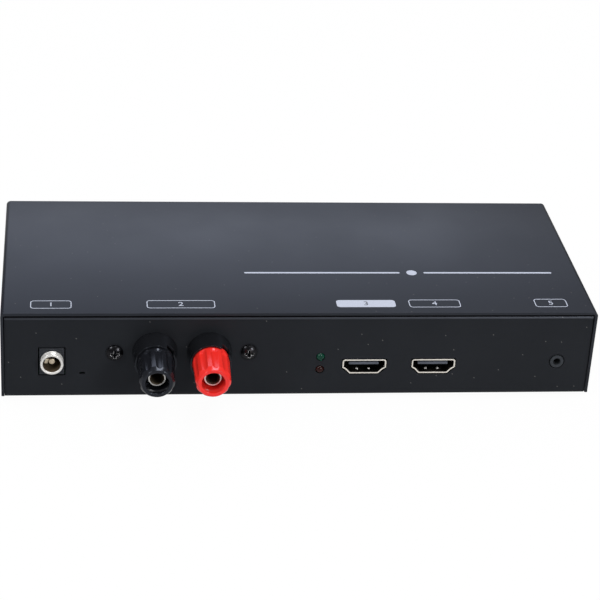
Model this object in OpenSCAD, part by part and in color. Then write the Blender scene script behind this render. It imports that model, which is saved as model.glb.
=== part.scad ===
// Two-wire video extender, transmitter unit, in a folded sheet steel case. All sizes in millimetres.
// X runs along the front from left to right, Y from the front to the back, and Z is up.
// The origin lies on the table, under the middle of the whole unit with its binding posts.

/* [Case] */
// Width of the cover over its two side walls
case_w = 200; // [196:1:240]
// Depth of the cover from its front edge to its back edge
case_d = 85; // [80:1:120]
// Height from the underside of the floor to the top of the cover
case_h = 32.2; // [31:0.1:45]
// Thickness of the sheet steel
sheet_t = 1; // [0.8:0.1:1.2]
// Inside radius of every bend in the sheet
bend_r = 0.6; // [0.4:0.1:1.2]
// How far the front and back panels stand behind the cover's edges
panel_recess = 0.6; // [0.2:0.1:2]
// Gap between the chassis and the cover, at the sides and under the top
cover_gap = 0.3; // [0.2:0.05:0.5]
// Depth of the flange folded back along the top of each panel
top_flange = 7; // [5:0.5:10]
// Height of the side flanges that take the cover's screws
side_flange_h = 12; // [11:0.5:16]
// Distance from a panel to the end of a side flange
flange_setback = 4; // [3:0.5:8]
// Width of the relief notch at each end of a side flange
relief_w = 1.5; // [1:0.1:2.5]

/* [Cover screws and feet] */
// Thread diameter of every small screw
screw_d = 3; // [2.5:0.1:3.5]
// Head diameter of every small screw
screw_head_d = 5.5; // [5:0.1:6.5]
// Head height of every small screw
screw_head_h = 1.9; // [1.5:0.1:2.4]
// Length of the cross recess in a screw head
recess_l = 2.9; // [2:0.1:3.2]
// Width of the cross recess in a screw head
recess_w = 0.8; // [0.5:0.1:1]
// Depth of the cross recess in a screw head
recess_deep = 1.2; // [0.8:0.1:1.4]
// Height of the cover screws above the underside of the floor
cover_screw_h = 7.5; // [6:0.5:8]
// Distance of the cover screws from the cover's front and back edges
cover_screw_inset = 17; // [14:1:24]
// Length of thread on a cover screw
cover_screw_len = 4; // [3.5:0.5:5]
// Diameter of a rubber foot where it meets the floor
foot_d = 10; // [8:0.5:14]
// Diameter of a rubber foot where it meets the table
foot_base_d = 9; // [7:0.5:12]
// Height of a rubber foot
foot_h = 2; // [1.5:0.5:5]
// Distance of a foot's middle from the sides of the case
foot_inset = 14; // [12:1:24]

/* [Circuit board] */
// Thickness of both circuit boards
board_t = 1.6; // [1:0.1:2]
// Height of the main board's underside above the underside of the floor
board_rise = 6.6; // [6:0.1:7.5]
// Gap between the main board and the front panel
board_front_gap = 1; // [0.5:0.1:2]
// Gap between the main board and the back panel
board_back_gap = 6; // [4:0.5:10]
// Gap between the main board and each side flange
board_side_gap = 2; // [1.2:0.1:4]
// Distance of the back board screws from the board's edges
board_screw_inset = 6; // [5:0.5:8]
// Distance of the left front board screw from the power jack's middle
left_screw_offset = 0; // [-4:0.1:2]
// Distance of the right front board screw from the right signal socket's middle
right_screw_offset = 18; // [14:0.5:22]
// Distance of the front board screws from the board's front edge, behind the jacks
front_screw_inset = 20; // [17:0.5:24]
// Width across the flats of a standoff
standoff_af = 5; // [4.5:0.1:6]
// Length of thread on a board screw
board_screw_len = 5; // [4:0.5:6]

/* [Power jack] */
// Place of the power jack's middle from the middle of the case, as a share of its width
dc_place_share = -0.4165; // [-0.42:0.0005:-0.405]
// Width of the square hole for the power jack
dc_hole_w = 9; // [9:0.1:10]
// Height of the square hole for the power jack
dc_hole_h = 10.7; // [10.4:0.1:12]
// Gap between the power jack's body and its hole
dc_gap = 0.25; // [0.15:0.05:0.4]
// Height of the nubs that the power jack's body stands on
dc_nub = 0.5; // [0.2:0.1:1]
// Depth of the power jack's body
dc_body_d = 14; // [13:0.5:17]
// Outer diameter of the nickel barrel
dc_barrel_d = 7.9; // [7.4:0.1:8]
// How far the barrel stands out of the panel
dc_barrel_reach = 3; // [2:0.1:5]
// Depth of the barrel inside the body
dc_barrel_deep = 10; // [8:0.5:11]
// Bore of the barrel
dc_bore_d = 6.2; // [6:0.1:6.5]
// Diameter of the centre pin
dc_pin_d = 2.5; // [1.6:0.1:2.7]
// How far the centre pin's tip lies behind the barrel's mouth
dc_pin_back = 1.2; // [0.5:0.1:2.5]
// Width of the contact spring in the barrel
dc_spring_w = 2.4; // [1.6:0.1:2.6]
// Thickness of the contact springs in the power jack and the remote jack
spring_t = 0.3; // [0.2:0.05:0.4]

/* [Binding posts] */
// Place of the middle between the two posts from the middle of the case, as a share of its width
post_place_share = -0.201; // [-0.205:0.0005:-0.19]
// Distance between the two posts
post_pitch = 18.2; // [17:0.1:19.2]
// Height of the posts above the underside of the floor
post_height = 17.2; // [16.8:0.1:19]
// Diameter of a collar at the panel
collar_base_d = 15.1; // [14.4:0.1:16]
// Diameter of a collar at its rim
collar_rim_d = 13.7; // [13.3:0.1:14.2]
// Length of a collar in front of the panel
collar_len = 7.9; // [7:0.1:9]
// Depth of the cup in a collar's rim
cup_depth = 3.2; // [3:0.1:3.6]
// Gap between a cap and the cup that it screws into
cup_gap = 0.15; // [0.1:0.05:0.2]
// Diameter of a collar's spigot in the panel
spigot_d = 8; // [7:0.1:10]
// Width of the wire notch in a collar's rim
notch_w = 3.6; // [2.5:0.1:4.5]
// Depth of the wire notch in a collar's rim
notch_deep = 2.6; // [2:0.1:2.9]
// Turn of the wire notch from the top, clockwise
notch_turn = 46; // [0:1:180]
// Distance from the panel to the front face of a closed cap
cap_reach = 20.6; // [19.5:0.1:23]
// Diameter of a cap at its back
cap_back_d = 12.4; // [12:0.1:12.6]
// Diameter of a cap at the start of its front bevel
cap_front_d = 11.7; // [11:0.1:12]
// Diameter of a cap's flat front face
cap_face_d = 9.9; // [9:0.1:10.6]
// Length of a cap's front bevel
cap_bevel = 1.4; // [0.8:0.1:2]
// Diameter of the mouth in a cap
mouth_d = 7.7; // [7:0.1:8.2]
// Depth of the mouth in a cap
mouth_deep = 6; // [5:0.1:6.4]
// Number of flutes round a cap
flutes = 10; // [6:1:14]
// Radius of a flute's hollow
flute_r = 2; // [1.4:0.1:3]
// Depth of a flute
flute_deep = 0.36; // [0.2:0.02:0.6]
// Distance from a cap's back to the start of its flutes
flute_start = 3.4; // [2.5:0.1:5]
// Turn of a closed cap, clockwise, that brings a flute beside its top
cap_turn = 6; // [0:1:36]
// Gap between a closed cap and the stud's flange
cap_lift = 0.3; // [0.2:0.05:0.6]
// Diameter of a post's stud in front of the panel
stud_d = 5.6; // [5.2:0.1:6]
// Distance from the panel to the stud's front end
stud_reach = 17.1; // [16.5:0.1:18]
// Bore of the stud, which takes a 4 mm plug
socket_d = 4; // [3.9:0.1:4.3]
// Depth of the stud's bore
socket_deep = 15; // [13:0.5:16]
// Diameter of the wire hole across the stud
wire_hole_d = 2; // [1.4:0.1:2.4]
// Diameter of the flange on the stud
flange_d = 8; // [7:0.1:9.5]
// Thickness of the flange on the stud
flange_t = 1.2; // [0.8:0.1:1.4]
// Diameter of the stud behind the panel
tail_d = 5; // [4.4:0.1:5.2]
// Outer diameter of the threaded sleeve in a cap
sleeve_d = 8.6; // [8:0.1:9.2]
// Length of the threaded sleeve in a cap
sleeve_len = 7; // [6:0.1:7.2]
// Thickness of the insulating bush behind the panel
bush_t = 2.5; // [2:0.1:3]
// Diameter of the insulating bush behind the panel
bush_d = 13; // [11:0.5:15]
// Height of a post nut
post_nut_h = 3.2; // [2.5:0.1:4]
// Width across the flats of a post nut
post_nut_af = 8; // [7.5:0.1:9]
// Thickness of a solder tag
tag_t = 0.5; // [0.3:0.1:0.8]
// Length of a solder tag from the post's middle
tag_len = 9; // [7:0.5:9.5]
// Turn of each solder tag from upright, away from the other post
tag_turn = 45; // [30:1:60]

/* [Post board] */
// Distance between the two panel screws beside the posts
panel_screw_pitch = 44.7; // [43:0.1:48]
// Margin of the post board past its screws
post_board_margin = 4.4; // [4:0.1:6]
// Gap between the post board and the main board
post_board_gap = 0.3; // [0.2:0.1:0.6]
// Gap between the post board and the chassis flange over it
post_board_head = 3.4; // [2:0.1:5]
// Diameter of a board spacer
spacer_d = 5; // [4.6:0.1:6]
// Width across the flats of a small nut
small_nut_af = 5.5; // [5:0.1:6]
// Height of a small nut
small_nut_h = 2.4; // [1.8:0.1:2.6]
// Distance between neighbouring pins of the link between the boards
pin_pitch = 2.54; // [2:0.01:2.54]
// Number of pins in the link between the boards
pins = 8; // [4:1:10]
// Thickness of a link pin
pin_t = 0.64; // [0.4:0.02:0.8]

/* [Video sockets] */
// Place of the output socket from the middle of the case, as a share of its width
output_place_share = 0.1075; // [0.09:0.0005:0.115]
// Place of the input socket from the middle of the case, as a share of its width
input_place_share = 0.226; // [0.21:0.0005:0.25]
// Outer width of a video socket
hdmi_w = 15.1; // [14.8:0.1:15.6]
// Outer height of a video socket
hdmi_h = 5.65; // [5.5:0.05:6]
// Outer width of a video socket's floor
hdmi_floor_w = 9.7; // [9:0.1:10.5]
// Height of a video socket's upright sides
hdmi_side_h = 3.2; // [2.9:0.1:3.4]
// Width of the ledge below a video socket's upright side
hdmi_ledge = 0.9; // [0.6:0.1:1.1]
// Sheet thickness of a video socket
hdmi_t = 0.45; // [0.3:0.05:0.5]
// Depth of a video socket
hdmi_d = 13.5; // [11:0.5:15]
// Lift of a video socket over the main board
hdmi_lift = 0.15; // [0:0.05:0.3]
// Gap between a video socket and its hole in the panel
hdmi_gap = 0.2; // [0.1:0.05:0.3]
// Width of the tongue in a video socket
tongue_w = 10.2; // [9:0.1:11]
// Thickness of the tongue in a video socket
tongue_t = 0.9; // [0.8:0.1:1.2]
// Height of the tongue over the middle of a video socket
tongue_up = 0.55; // [0.3:0.05:0.7]
// How far the tongue's edge lies behind the socket's mouth
tongue_back = 1.4; // [0.8:0.1:2]
// Depth of the block that carries the tongue
tongue_root = 4.5; // [3:0.5:6]
// Distance between neighbouring contacts on one side of the tongue
contact_pitch = 1; // [0.8:0.05:1]
// Width of a contact
contact_w = 0.4; // [0.2:0.05:0.45]
// Thickness of a contact
contact_t = 0.12; // [0.08:0.01:0.2]
// Distance between the two dimples in a socket's floor
dimple_pitch = 4.1; // [3:0.1:6]
// Radius of a dimple's ball
dimple_r = 0.8; // [0.6:0.05:1]
// Height of a dimple over a socket's floor
dimple_h = 0.35; // [0.2:0.05:0.5]
// Distance of the dimples behind the socket's mouth
dimple_back = 2.6; // [2:0.1:5]

/* [Remote jack, lamps and slot] */
// Place of the remote jack's middle from the middle of the case, as a share of its width
ir_place_share = 0.4395; // [0.425:0.0005:0.445]
// Height of the remote jack's middle over the main board
ir_rise = 4.7; // [4.2:0.1:5.5]
// Diameter of the hole for the remote jack
ir_hole_d = 5.4; // [5.2:0.1:6.5]
// Outer diameter of the remote jack's nose
ir_nose_d = 4.7; // [4.2:0.1:5]
// Bore of the remote jack
ir_bore_d = 2.55; // [2.5:0.05:3.6]
// Depth of the remote jack's bore from its nose
ir_bore_deep = 11; // [9:0.5:12]
// How far the remote jack's nose stands out of the panel
ir_nose_reach = 0.3; // [0:0.1:1]
// Width of the remote jack's body
ir_body_w = 7; // [6:0.1:8]
// Depth of the remote jack's body
ir_body_d = 12; // [11:0.5:14]
// Place of the lamps from the middle of the case, as a share of its width
lamp_place_share = 0.032; // [0.01:0.0005:0.04]
// Height of the lower lamp over the main board
lamp_rise = 2; // [2:0.1:3]
// Distance between the two lamps
lamp_pitch = 4.85; // [4.4:0.05:6]
// Diameter of a lamp
lamp_d = 2.9; // [2.5:0.1:3]
// Gap between a lamp and its hole
lamp_gap = 0.08; // [0.05:0.01:0.2]
// How far a lamp's dome stands out of the panel
lamp_reach = 0.3; // [0:0.1:1]
// Length of a lamp from its dome's tip to its back
lamp_len = 5; // [4.4:0.1:5.4]
// Diameter of a lamp's rim
lamp_rim_d = 3.7; // [3.4:0.1:4]
// Thickness of a lamp's rim
lamp_rim_t = 0.9; // [0.6:0.1:1.2]
// Distance between the two legs of a lamp
leg_pitch = 1.8; // [1.2:0.1:2.2]
// Thickness of a lamp's leg
leg_t = 0.45; // [0.3:0.05:0.6]
// Distance of the small slot from the power jack's middle
slot_offset = 10; // [8:0.1:12]
// Height of the small slot above the underside of the floor
slot_height = 9.3; // [8.5:0.1:12]
// Width of the small slot
slot_w = 1.8; // [1:0.1:3]
// Height of the small slot
slot_h = 0.8; // [0.5:0.1:1.5]

/* [Board parts] */
// Side of the processor chip
processor_w = 17; // [14:0.5:20]
// Thickness of the larger chips
chip_t = 1.6; // [1:0.1:2]
// Side of the heat sink
sink_w = 20; // [18:0.5:24]
// Height of the heat sink
sink_h = 9; // [6:0.5:10]
// Thickness of the heat sink's base
sink_base_t = 2; // [1.5:0.1:3]
// Number of fins on the heat sink
fins = 8; // [5:1:9]
// Thickness of a fin
fin_t = 1; // [0.6:0.1:1.2]
// Side of the line chip
line_chip_w = 14; // [10:0.5:16]
// Length of a memory chip
memory_l = 18; // [12:0.5:20]
// Width of a memory chip
memory_w = 8; // [6:0.5:10]
// Thickness of a memory chip
memory_t = 1.1; // [0.8:0.1:1.5]
// Gap between the memory chips
memory_gap = 3; // [1:0.5:5]
// Diameter of a capacitor can
capacitor_d = 6.3; // [5:0.1:8]
// Height of a capacitor can
capacitor_h = 7.7; // [5:0.1:11]
// Number of capacitor cans
capacitors = 4; // [2:1:5]
// Distance between neighbouring capacitors and coils
can_pitch = 9.5; // [9:0.5:12]
// Side of a power coil
coil_w = 7; // [5:0.5:8]
// Height of a power coil
coil_h = 4; // [3:0.1:5]
// Number of power coils
coils = 3; // [1:1:4]
// Length of the crystal's can
crystal_l = 11; // [8:0.5:12]
// Width of the crystal's can
crystal_w = 4.6; // [3.5:0.1:5]
// Height of the crystal's can
crystal_h = 3.5; // [2.5:0.1:4]
// Width of the line transformer's core
core_w = 17; // [14:0.5:20]
// Depth of the line transformer's core
core_d = 9; // [7:0.5:12]
// Height of the line transformer's core
core_h = 13; // [10:0.5:15]
// Thickness of the core's legs and yokes
core_leg = 3; // [2:0.1:3.4]
// How far the transformer's coil stands out of its core at the front and back
winding_out = 2.5; // [1.5:0.1:4]

/* [Hidden] */

$fn = 64;
// One overrun for every cut
overrun = 0.5;
// Running gap round a shaft, screw or pin, on the radius
fit_gap = 0.05;
// Gap round a screw in a plain hole, on the radius
hole_gap = 0.2;
// Rounding of a video socket's corners, and the steps in each
corner_r = 0.45;
corner_steps = 4;
// Height of a screw head's edge as a share of the head's height
head_edge_share = 0.35;
// Steps along the power jack's contact spring
spring_steps = 10;
// Share of the bore's radius that the contact spring bows inwards
spring_bow_share = 0.28;
// Share of the bore's radius where the contact spring starts
spring_seat_share = 0.88;
// Place of the link's middle along the post board, as a share of the board's width
link_place_share = 0.5;
// Width of a solder tag's tail as a share of the stud's tail
tag_tail_share = 0.6;
// Diameter that rounds the corners of a power coil, as a share of its side
coil_round_share = 1.2;
// Height of a capacitor's square seat as a share of the can's height
capacitor_seat_share = 0.14;

// Derived places
front_reach = cap_reach - panel_recess;
front_y = (front_reach - case_d) / 2;
panel_y = front_y + panel_recess;
back_y = front_y + case_d;
base_z = foot_h;
chassis_w = case_w - 2 * (sheet_t + cover_gap);
chassis_d = case_d - 2 * panel_recess;
chassis_h = case_h - sheet_t - cover_gap;
outer_bend_r = bend_r + sheet_t;
tapped_r = screw_d / 2 + fit_gap;
loose_r = screw_d / 2 + hole_gap;

board_w = chassis_w - 2 * (sheet_t + board_side_gap);
board_d = chassis_d - 2 * sheet_t - board_front_gap - board_back_gap;
board_front_y = panel_y + sheet_t + board_front_gap;
// Heights over the underside of the floor
board_top = board_rise + board_t;
dc_x = case_w * dc_place_share;
post_mid = case_w * post_place_share;
output_x = case_w * output_place_share;
input_x = case_w * input_place_share;
lamp_x = case_w * lamp_place_share;
ir_x = case_w * ir_place_share;
dc_body_w = dc_hole_w - 2 * dc_gap;
dc_body_h = dc_hole_h - 2 * dc_gap;
dc_height = board_top + dc_nub + dc_body_h / 2;
hdmi_height = board_top + hdmi_lift + hdmi_h / 2;
ir_height = board_top + ir_rise;
lamp_low = board_top + lamp_rise;
lamp_high = lamp_low + lamp_pitch;

left_post_x = post_mid - post_pitch / 2;
right_post_x = post_mid + post_pitch / 2;
cup_floor = collar_len - cup_depth;
flange_top = cup_floor + flange_t;
cap_back = flange_top + cap_lift;
cap_len = cap_reach - cap_back;
spacer_len = bush_t + post_nut_h;
post_board_front = sheet_t + spacer_len;
post_board_back = post_board_front + board_t;
post_board_w = panel_screw_pitch + 2 * post_board_margin;
post_board_bottom = board_top + post_board_gap;
post_board_top = chassis_h - sheet_t - post_board_head;
link_height = board_top + pin_pitch / 2 + pin_t;

// Places on the main board, as shares of its width from the middle and of its depth from the front
processor_place_shares = [0.17, 0.56];
line_chip_place_shares = [-0.02, 0.52];
memory_place_shares = [0.34, 0.56];
capacitor_place_shares = [-0.4, 0.84];
coil_place_shares = [-0.4, 0.55];
crystal_place_shares = [0.17, 0.87];
transformer_place_shares = [-0.2, 0.55];

// Moves its children to the front panel: x to the right, y up, z out of the panel
module on_panel(x, height) {
    translate([x, panel_y, base_z + height]) rotate([90, 0, 0]) children();
}

// Moves its children onto the main board, at a place given in shares
module on_board(place) {
    translate([board_w * place[0], board_front_y + board_d * place[1], base_z + board_top]) children();
}

// A rectangle from the origin with four round corners
module round_rect(w, h, r) {
    translate([r, 0]) square([w - 2 * r, h]);
    translate([0, r]) square([w, h - 2 * r]);
    for (x = [r, w - r], y = [r, h - r]) translate([x, y]) circle(r = r);
}

// An outline with a flat bottom and two round upper corners, centred on x
module arch_outline(w, h, r) {
    translate([-w / 2, 0]) square([w, h - r]);
    translate([-w / 2 + r, 0]) square([w - 2 * r, h]);
    for (side = [-1, 1]) translate([side * (w / 2 - r), h - r]) circle(r = r);
}

// Vector helpers for outlines that run anticlockwise
function unit(v) = v / norm(v);
function outward(a, b) = let (d = unit(b - a)) [d[1], -d[0]];
function before(pts, i) = pts[(i + len(pts) - 1) % len(pts)];
function after(pts, i) = pts[(i + 1) % len(pts)];

// Moves every edge of an outline outwards by g
function grown(pts, g) = [for (i = [0:len(pts) - 1])
    let (m = outward(before(pts, i), pts[i]), n = outward(pts[i], after(pts, i)))
    pts[i] + g * (m + n) / (1 + m * n)];

// Rounds every corner of an outline to radius r
function rounded(pts, r) = [for (i = [0:len(pts) - 1])
    let (u = unit(before(pts, i) - pts[i]),
         v = unit(after(pts, i) - pts[i]),
         half = acos(u * v) / 2,
         centre = pts[i] + unit(u + v) * r / sin(half),
         first = pts[i] + u * r / tan(half) - centre,
         last = pts[i] + v * r / tan(half) - centre)
    for (k = [0:corner_steps]) centre + r * unit(first * (corner_steps - k) + last * k)];

// Case

// The two places along Y and the two sides where the cover is screwed on
module at_cover_screws() {
    for (side = [-1, 1], y = [front_y + cover_screw_inset, back_y - cover_screw_inset])
        translate([side * case_w / 2, y, base_z + cover_screw_h]) rotate([0, side * 90, 0]) children();
}

module cover() {
    color("#3d4048")
    difference() {
        translate([0, back_y, base_z]) rotate([90, 0, 0]) linear_extrude(case_d)
            difference() {
                arch_outline(case_w, case_h, outer_bend_r);
                translate([0, -overrun])
                    arch_outline(case_w - 2 * sheet_t, case_h - sheet_t + overrun, bend_r);
            }
        at_cover_screws() translate([0, 0, -sheet_t - overrun])
            cylinder(r = loose_r, h = sheet_t + 2 * overrun);
    }
}

// Floor, front panel, back panel and their top flanges, seen from the left
module panel_section() {
    difference() {
        round_rect(chassis_d, chassis_h, outer_bend_r);
        translate([sheet_t, sheet_t]) round_rect(chassis_d - 2 * sheet_t, chassis_h - 2 * sheet_t, bend_r);
        translate([top_flange, chassis_h / 2]) square([chassis_d - 2 * top_flange, chassis_h]);
    }
}

// Floor and the two side flanges, seen from the front
module flange_section() {
    intersection() {
        difference() {
            translate([-chassis_w / 2, 0]) round_rect(chassis_w, chassis_h, outer_bend_r);
            translate([-chassis_w / 2 + sheet_t, sheet_t])
                round_rect(chassis_w - 2 * sheet_t, chassis_h, bend_r);
        }
        translate([-chassis_w / 2, 0]) square([chassis_w, side_flange_h]);
    }
}

// Every hole in the front panel, drawn flat
module panel_holes() {
    translate([dc_x, dc_height]) square([dc_hole_w, dc_hole_h], center = true);
    translate([dc_x + slot_offset, slot_height]) square([slot_w, slot_h], center = true);
    for (x = [left_post_x, right_post_x])
        translate([x, post_height]) circle(r = spigot_d / 2 + fit_gap);
    for (side = [-1, 1])
        translate([post_mid + side * panel_screw_pitch / 2, post_height]) circle(r = loose_r);
    for (height = [lamp_low, lamp_high])
        translate([lamp_x, height]) circle(r = lamp_d / 2 + lamp_gap);
    for (x = [output_x, input_x])
        translate([x, hdmi_height]) polygon(rounded(grown(hdmi_outline, hdmi_gap), corner_r));
    translate([ir_x, ir_height]) circle(d = ir_hole_d);
}

module chassis() {
    flange_len = chassis_d - 2 * flange_setback;
    middle_y = panel_y + chassis_d / 2;
    strip = [outer_bend_r + overrun, flange_len + 2 * relief_w, sheet_t + 2 * overrun];
    strip_x = chassis_w / 2 + overrun - strip[0] / 2;
    color("#2c2f33")
    difference() {
        union() {
            difference() {
                translate([-chassis_w / 2, panel_y, base_z]) rotate([90, 0, 90])
                    linear_extrude(chassis_w) panel_section();
                for (side = [-1, 1])
                    translate([side * strip_x, middle_y, base_z + sheet_t / 2]) cube(strip, center = true);
            }
            translate([0, middle_y + flange_len / 2, base_z]) rotate([90, 0, 0])
                linear_extrude(flange_len) flange_section();
        }
        on_panel(0, 0) translate([0, 0, -sheet_t - overrun])
            linear_extrude(sheet_t + 2 * overrun) panel_holes();
        at_cover_screws() translate([0, 0, -2 * sheet_t - cover_gap - overrun])
            cylinder(r = tapped_r, h = 2 * sheet_t + cover_gap + 2 * overrun);
    }
}

// A pan head screw with a cross recess: its head stands on z = 0 and its thread runs down
module pan_screw(thread_len) {
    edge = screw_head_h * head_edge_share;
    rise = screw_head_h - edge;
    ball_r = (pow(screw_head_d / 2, 2) + pow(rise, 2)) / (2 * rise);
    difference() {
        union() {
            intersection() {
                cylinder(d = screw_head_d, h = screw_head_h);
                translate([0, 0, screw_head_h - ball_r]) sphere(r = ball_r);
            }
            translate([0, 0, -thread_len]) cylinder(d = screw_d, h = thread_len + edge);
        }
        for (turn = [0, 90])
            rotate(turn) translate([-recess_l / 2, -recess_w / 2, screw_head_h - recess_deep])
                cube([recess_l, recess_w, recess_deep + overrun]);
    }
}

module cover_screws() {
    color("#1b1c1e") at_cover_screws() pan_screw(cover_screw_len);
}

// Middle of each foot, from the middle of the case
module at_feet() {
    for (side = [-1, 1], y = [front_y + foot_inset, back_y - foot_inset])
        translate([side * (case_w / 2 - foot_inset), y, 0]) children();
}

module rubber_feet() {
    color("#18191b") at_feet() cylinder(d1 = foot_base_d, d2 = foot_d, h = foot_h);
}

// Main board

// The four screws that hold the main board
module at_board_screws() {
    back_row = board_front_y + board_d - board_screw_inset;
    front_row = board_front_y + front_screw_inset;
    for (side = [-1, 1]) translate([side * (board_w / 2 - board_screw_inset), back_row, base_z]) children();
    translate([dc_x + left_screw_offset, front_row, base_z]) children();
    translate([input_x + right_screw_offset, front_row, base_z]) children();
}

module main_board() {
    color("#1f5a3a")
    difference() {
        translate([-board_w / 2, board_front_y, base_z + board_rise]) cube([board_w, board_d, board_t]);
        at_board_screws() translate([0, 0, board_rise - overrun])
            cylinder(r = tapped_r, h = board_t + 2 * overrun);
    }
}

module standoffs() {
    color("#c9b26a")
    at_board_screws() translate([0, 0, sheet_t]) difference() {
        cylinder(d = standoff_af / cos(30), h = board_rise - sheet_t, $fn = 6);
        translate([0, 0, -overrun]) cylinder(r = tapped_r, h = board_rise + 2 * overrun);
    }
}

module board_screws() {
    color("#b9bcc0") at_board_screws() translate([0, 0, board_top]) pan_screw(board_screw_len);
}

// Power jack

module power_jack_body() {
    color("#232427")
    on_panel(dc_x, dc_height) difference() {
        union() {
            translate([-dc_body_w / 2, -dc_body_h / 2, -dc_body_d]) cube([dc_body_w, dc_body_h, dc_body_d]);
            for (z = [-dc_body_d, -sheet_t - board_front_gap - 2 * dc_nub])
                translate([-dc_body_w / 2, -dc_body_h / 2 - dc_nub, z])
                    cube([dc_body_w, 2 * dc_nub, 2 * dc_nub]);
        }
        translate([0, 0, -dc_barrel_deep])
            cylinder(r = dc_barrel_d / 2 + fit_gap, h = dc_barrel_deep + overrun);
        translate([0, 0, -dc_body_d - overrun])
            cylinder(r = dc_pin_d / 2 + fit_gap, h = dc_body_d + overrun);
    }
}

module power_jack_barrel() {
    color("#d8dadc")
    on_panel(dc_x, dc_height) translate([0, 0, -dc_barrel_deep]) difference() {
        cylinder(d = dc_barrel_d, h = dc_barrel_deep + dc_barrel_reach);
        translate([0, 0, -overrun])
            cylinder(d = dc_bore_d, h = dc_barrel_deep + dc_barrel_reach + 2 * overrun);
    }
}

module power_jack_pin() {
    shaft = dc_body_d + dc_barrel_reach - dc_pin_back - dc_pin_d / 2;
    color("#cfa85a")
    on_panel(dc_x, dc_height) translate([0, 0, -dc_body_d]) {
        cylinder(d = dc_pin_d, h = shaft);
        translate([0, 0, shaft]) sphere(d = dc_pin_d);
    }
}

// The leaf spring that presses on the plug, bowed towards the pin
module power_jack_spring() {
    seat = dc_bore_d / 2 * spring_seat_share;
    bow = dc_bore_d / 2 * spring_bow_share;
    length = dc_barrel_deep + dc_barrel_reach - 2 * dc_pin_back;
    lower = [for (k = [0:spring_steps])
        [length * k / spring_steps, seat - spring_t - bow * sin(180 * k / spring_steps)]];
    upper = [for (p = lower) [p[0], p[1] + spring_t]];
    color("#c8b27a")
    on_panel(dc_x, dc_height) translate([dc_spring_w / 2, 0, -dc_barrel_deep]) rotate([0, -90, 0])
        linear_extrude(dc_spring_w) polygon(concat(lower, [for (k = [spring_steps:-1:0]) upper[k]]));
}

// Video sockets

// Outer outline of a video socket, anticlockwise from the upper right corner, about its middle
hdmi_side_foot = hdmi_h / 2 - hdmi_side_h;
hdmi_outline = [
    [hdmi_w / 2, hdmi_h / 2],
    [-hdmi_w / 2, hdmi_h / 2],
    [-hdmi_w / 2, hdmi_side_foot],
    [-hdmi_w / 2 + hdmi_ledge, hdmi_side_foot - hdmi_ledge],
    [-hdmi_floor_w / 2, -hdmi_h / 2],
    [hdmi_floor_w / 2, -hdmi_h / 2],
    [hdmi_w / 2 - hdmi_ledge, hdmi_side_foot - hdmi_ledge],
    [hdmi_w / 2, hdmi_side_foot]];

module socket_shell(x) {
    inner_floor = -hdmi_h / 2 + hdmi_t;
    color("#cfc8b8")
    on_panel(x, hdmi_height) {
        translate([0, 0, -hdmi_d]) linear_extrude(hdmi_d) difference() {
            polygon(rounded(hdmi_outline, corner_r));
            polygon(rounded(grown(hdmi_outline, -hdmi_t), corner_r - hdmi_t / 2));
        }
        intersection() {
            for (side = [-1, 1])
                translate([side * dimple_pitch / 2, inner_floor + dimple_h - dimple_r, -dimple_back])
                    sphere(r = dimple_r);
            translate([-hdmi_floor_w / 2, inner_floor - hdmi_t / 2, -hdmi_d])
                cube([hdmi_floor_w, hdmi_h, hdmi_d]);
        }
    }
}

module socket_tongue(x) {
    color("#1c1d1f")
    on_panel(x, hdmi_height) {
        translate([0, 0, -hdmi_d]) linear_extrude(tongue_root)
            polygon(rounded(grown(hdmi_outline, -hdmi_t - fit_gap), corner_r - hdmi_t / 2));
        translate([-tongue_w / 2, tongue_up - tongue_t / 2, -hdmi_d])
            cube([tongue_w, tongue_t, hdmi_d - tongue_back]);
    }
}

// Ten contacts on the upper side of the tongue and nine between them on the lower side
module socket_contacts(x) {
    top_count = 10;
    root = -hdmi_d + tongue_root;
    length = hdmi_d - tongue_root - 2 * tongue_back;
    color("#d9b45c")
    on_panel(x, hdmi_height) for (upper = [true, false]) {
        count = upper ? top_count : top_count - 1;
        y = upper ? tongue_up + tongue_t / 2 : tongue_up - tongue_t / 2 - contact_t;
        for (i = [0:count - 1])
            translate([(i - (count - 1) / 2) * contact_pitch - contact_w / 2, y, root])
                cube([contact_w, contact_t, length]);
    }
}

module output_socket_shell() { socket_shell(output_x); }
module output_socket_tongue() { socket_tongue(output_x); }
module output_socket_contacts() { socket_contacts(output_x); }
module input_socket_shell() { socket_shell(input_x); }
module input_socket_tongue() { socket_tongue(input_x); }
module input_socket_contacts() { socket_contacts(input_x); }

// Remote jack

module remote_jack_body() {
    body_h = ir_rise + ir_body_w / 2;
    color("#33363b")
    on_panel(ir_x, ir_height) difference() {
        union() {
            translate([-ir_body_w / 2, -ir_rise, -sheet_t - ir_body_d]) cube([ir_body_w, body_h, ir_body_d]);
            translate([0, 0, -sheet_t - overrun])
                cylinder(d = ir_nose_d, h = sheet_t + overrun + ir_nose_reach);
        }
        translate([0, 0, ir_nose_reach - ir_bore_deep]) cylinder(d = ir_bore_d, h = ir_bore_deep + overrun);
    }
}

// Three sprung tags on the sides of the remote jack, down to the board
module remote_jack_contacts() {
    tag_w = ir_body_d / 6;
    tag_h = ir_rise;
    color("#c9ccd0")
    on_panel(ir_x, ir_height) {
        for (side = [-1, 1])
            translate([side * (ir_body_w + spring_t) / 2 - spring_t / 2, -ir_rise, -sheet_t - ir_body_d / 2])
                cube([spring_t, tag_h, tag_w]);
        translate([-tag_w / 2, -ir_rise, -sheet_t - ir_body_d - spring_t]) cube([tag_w, tag_h, spring_t]);
    }
}

// Lamps

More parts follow.
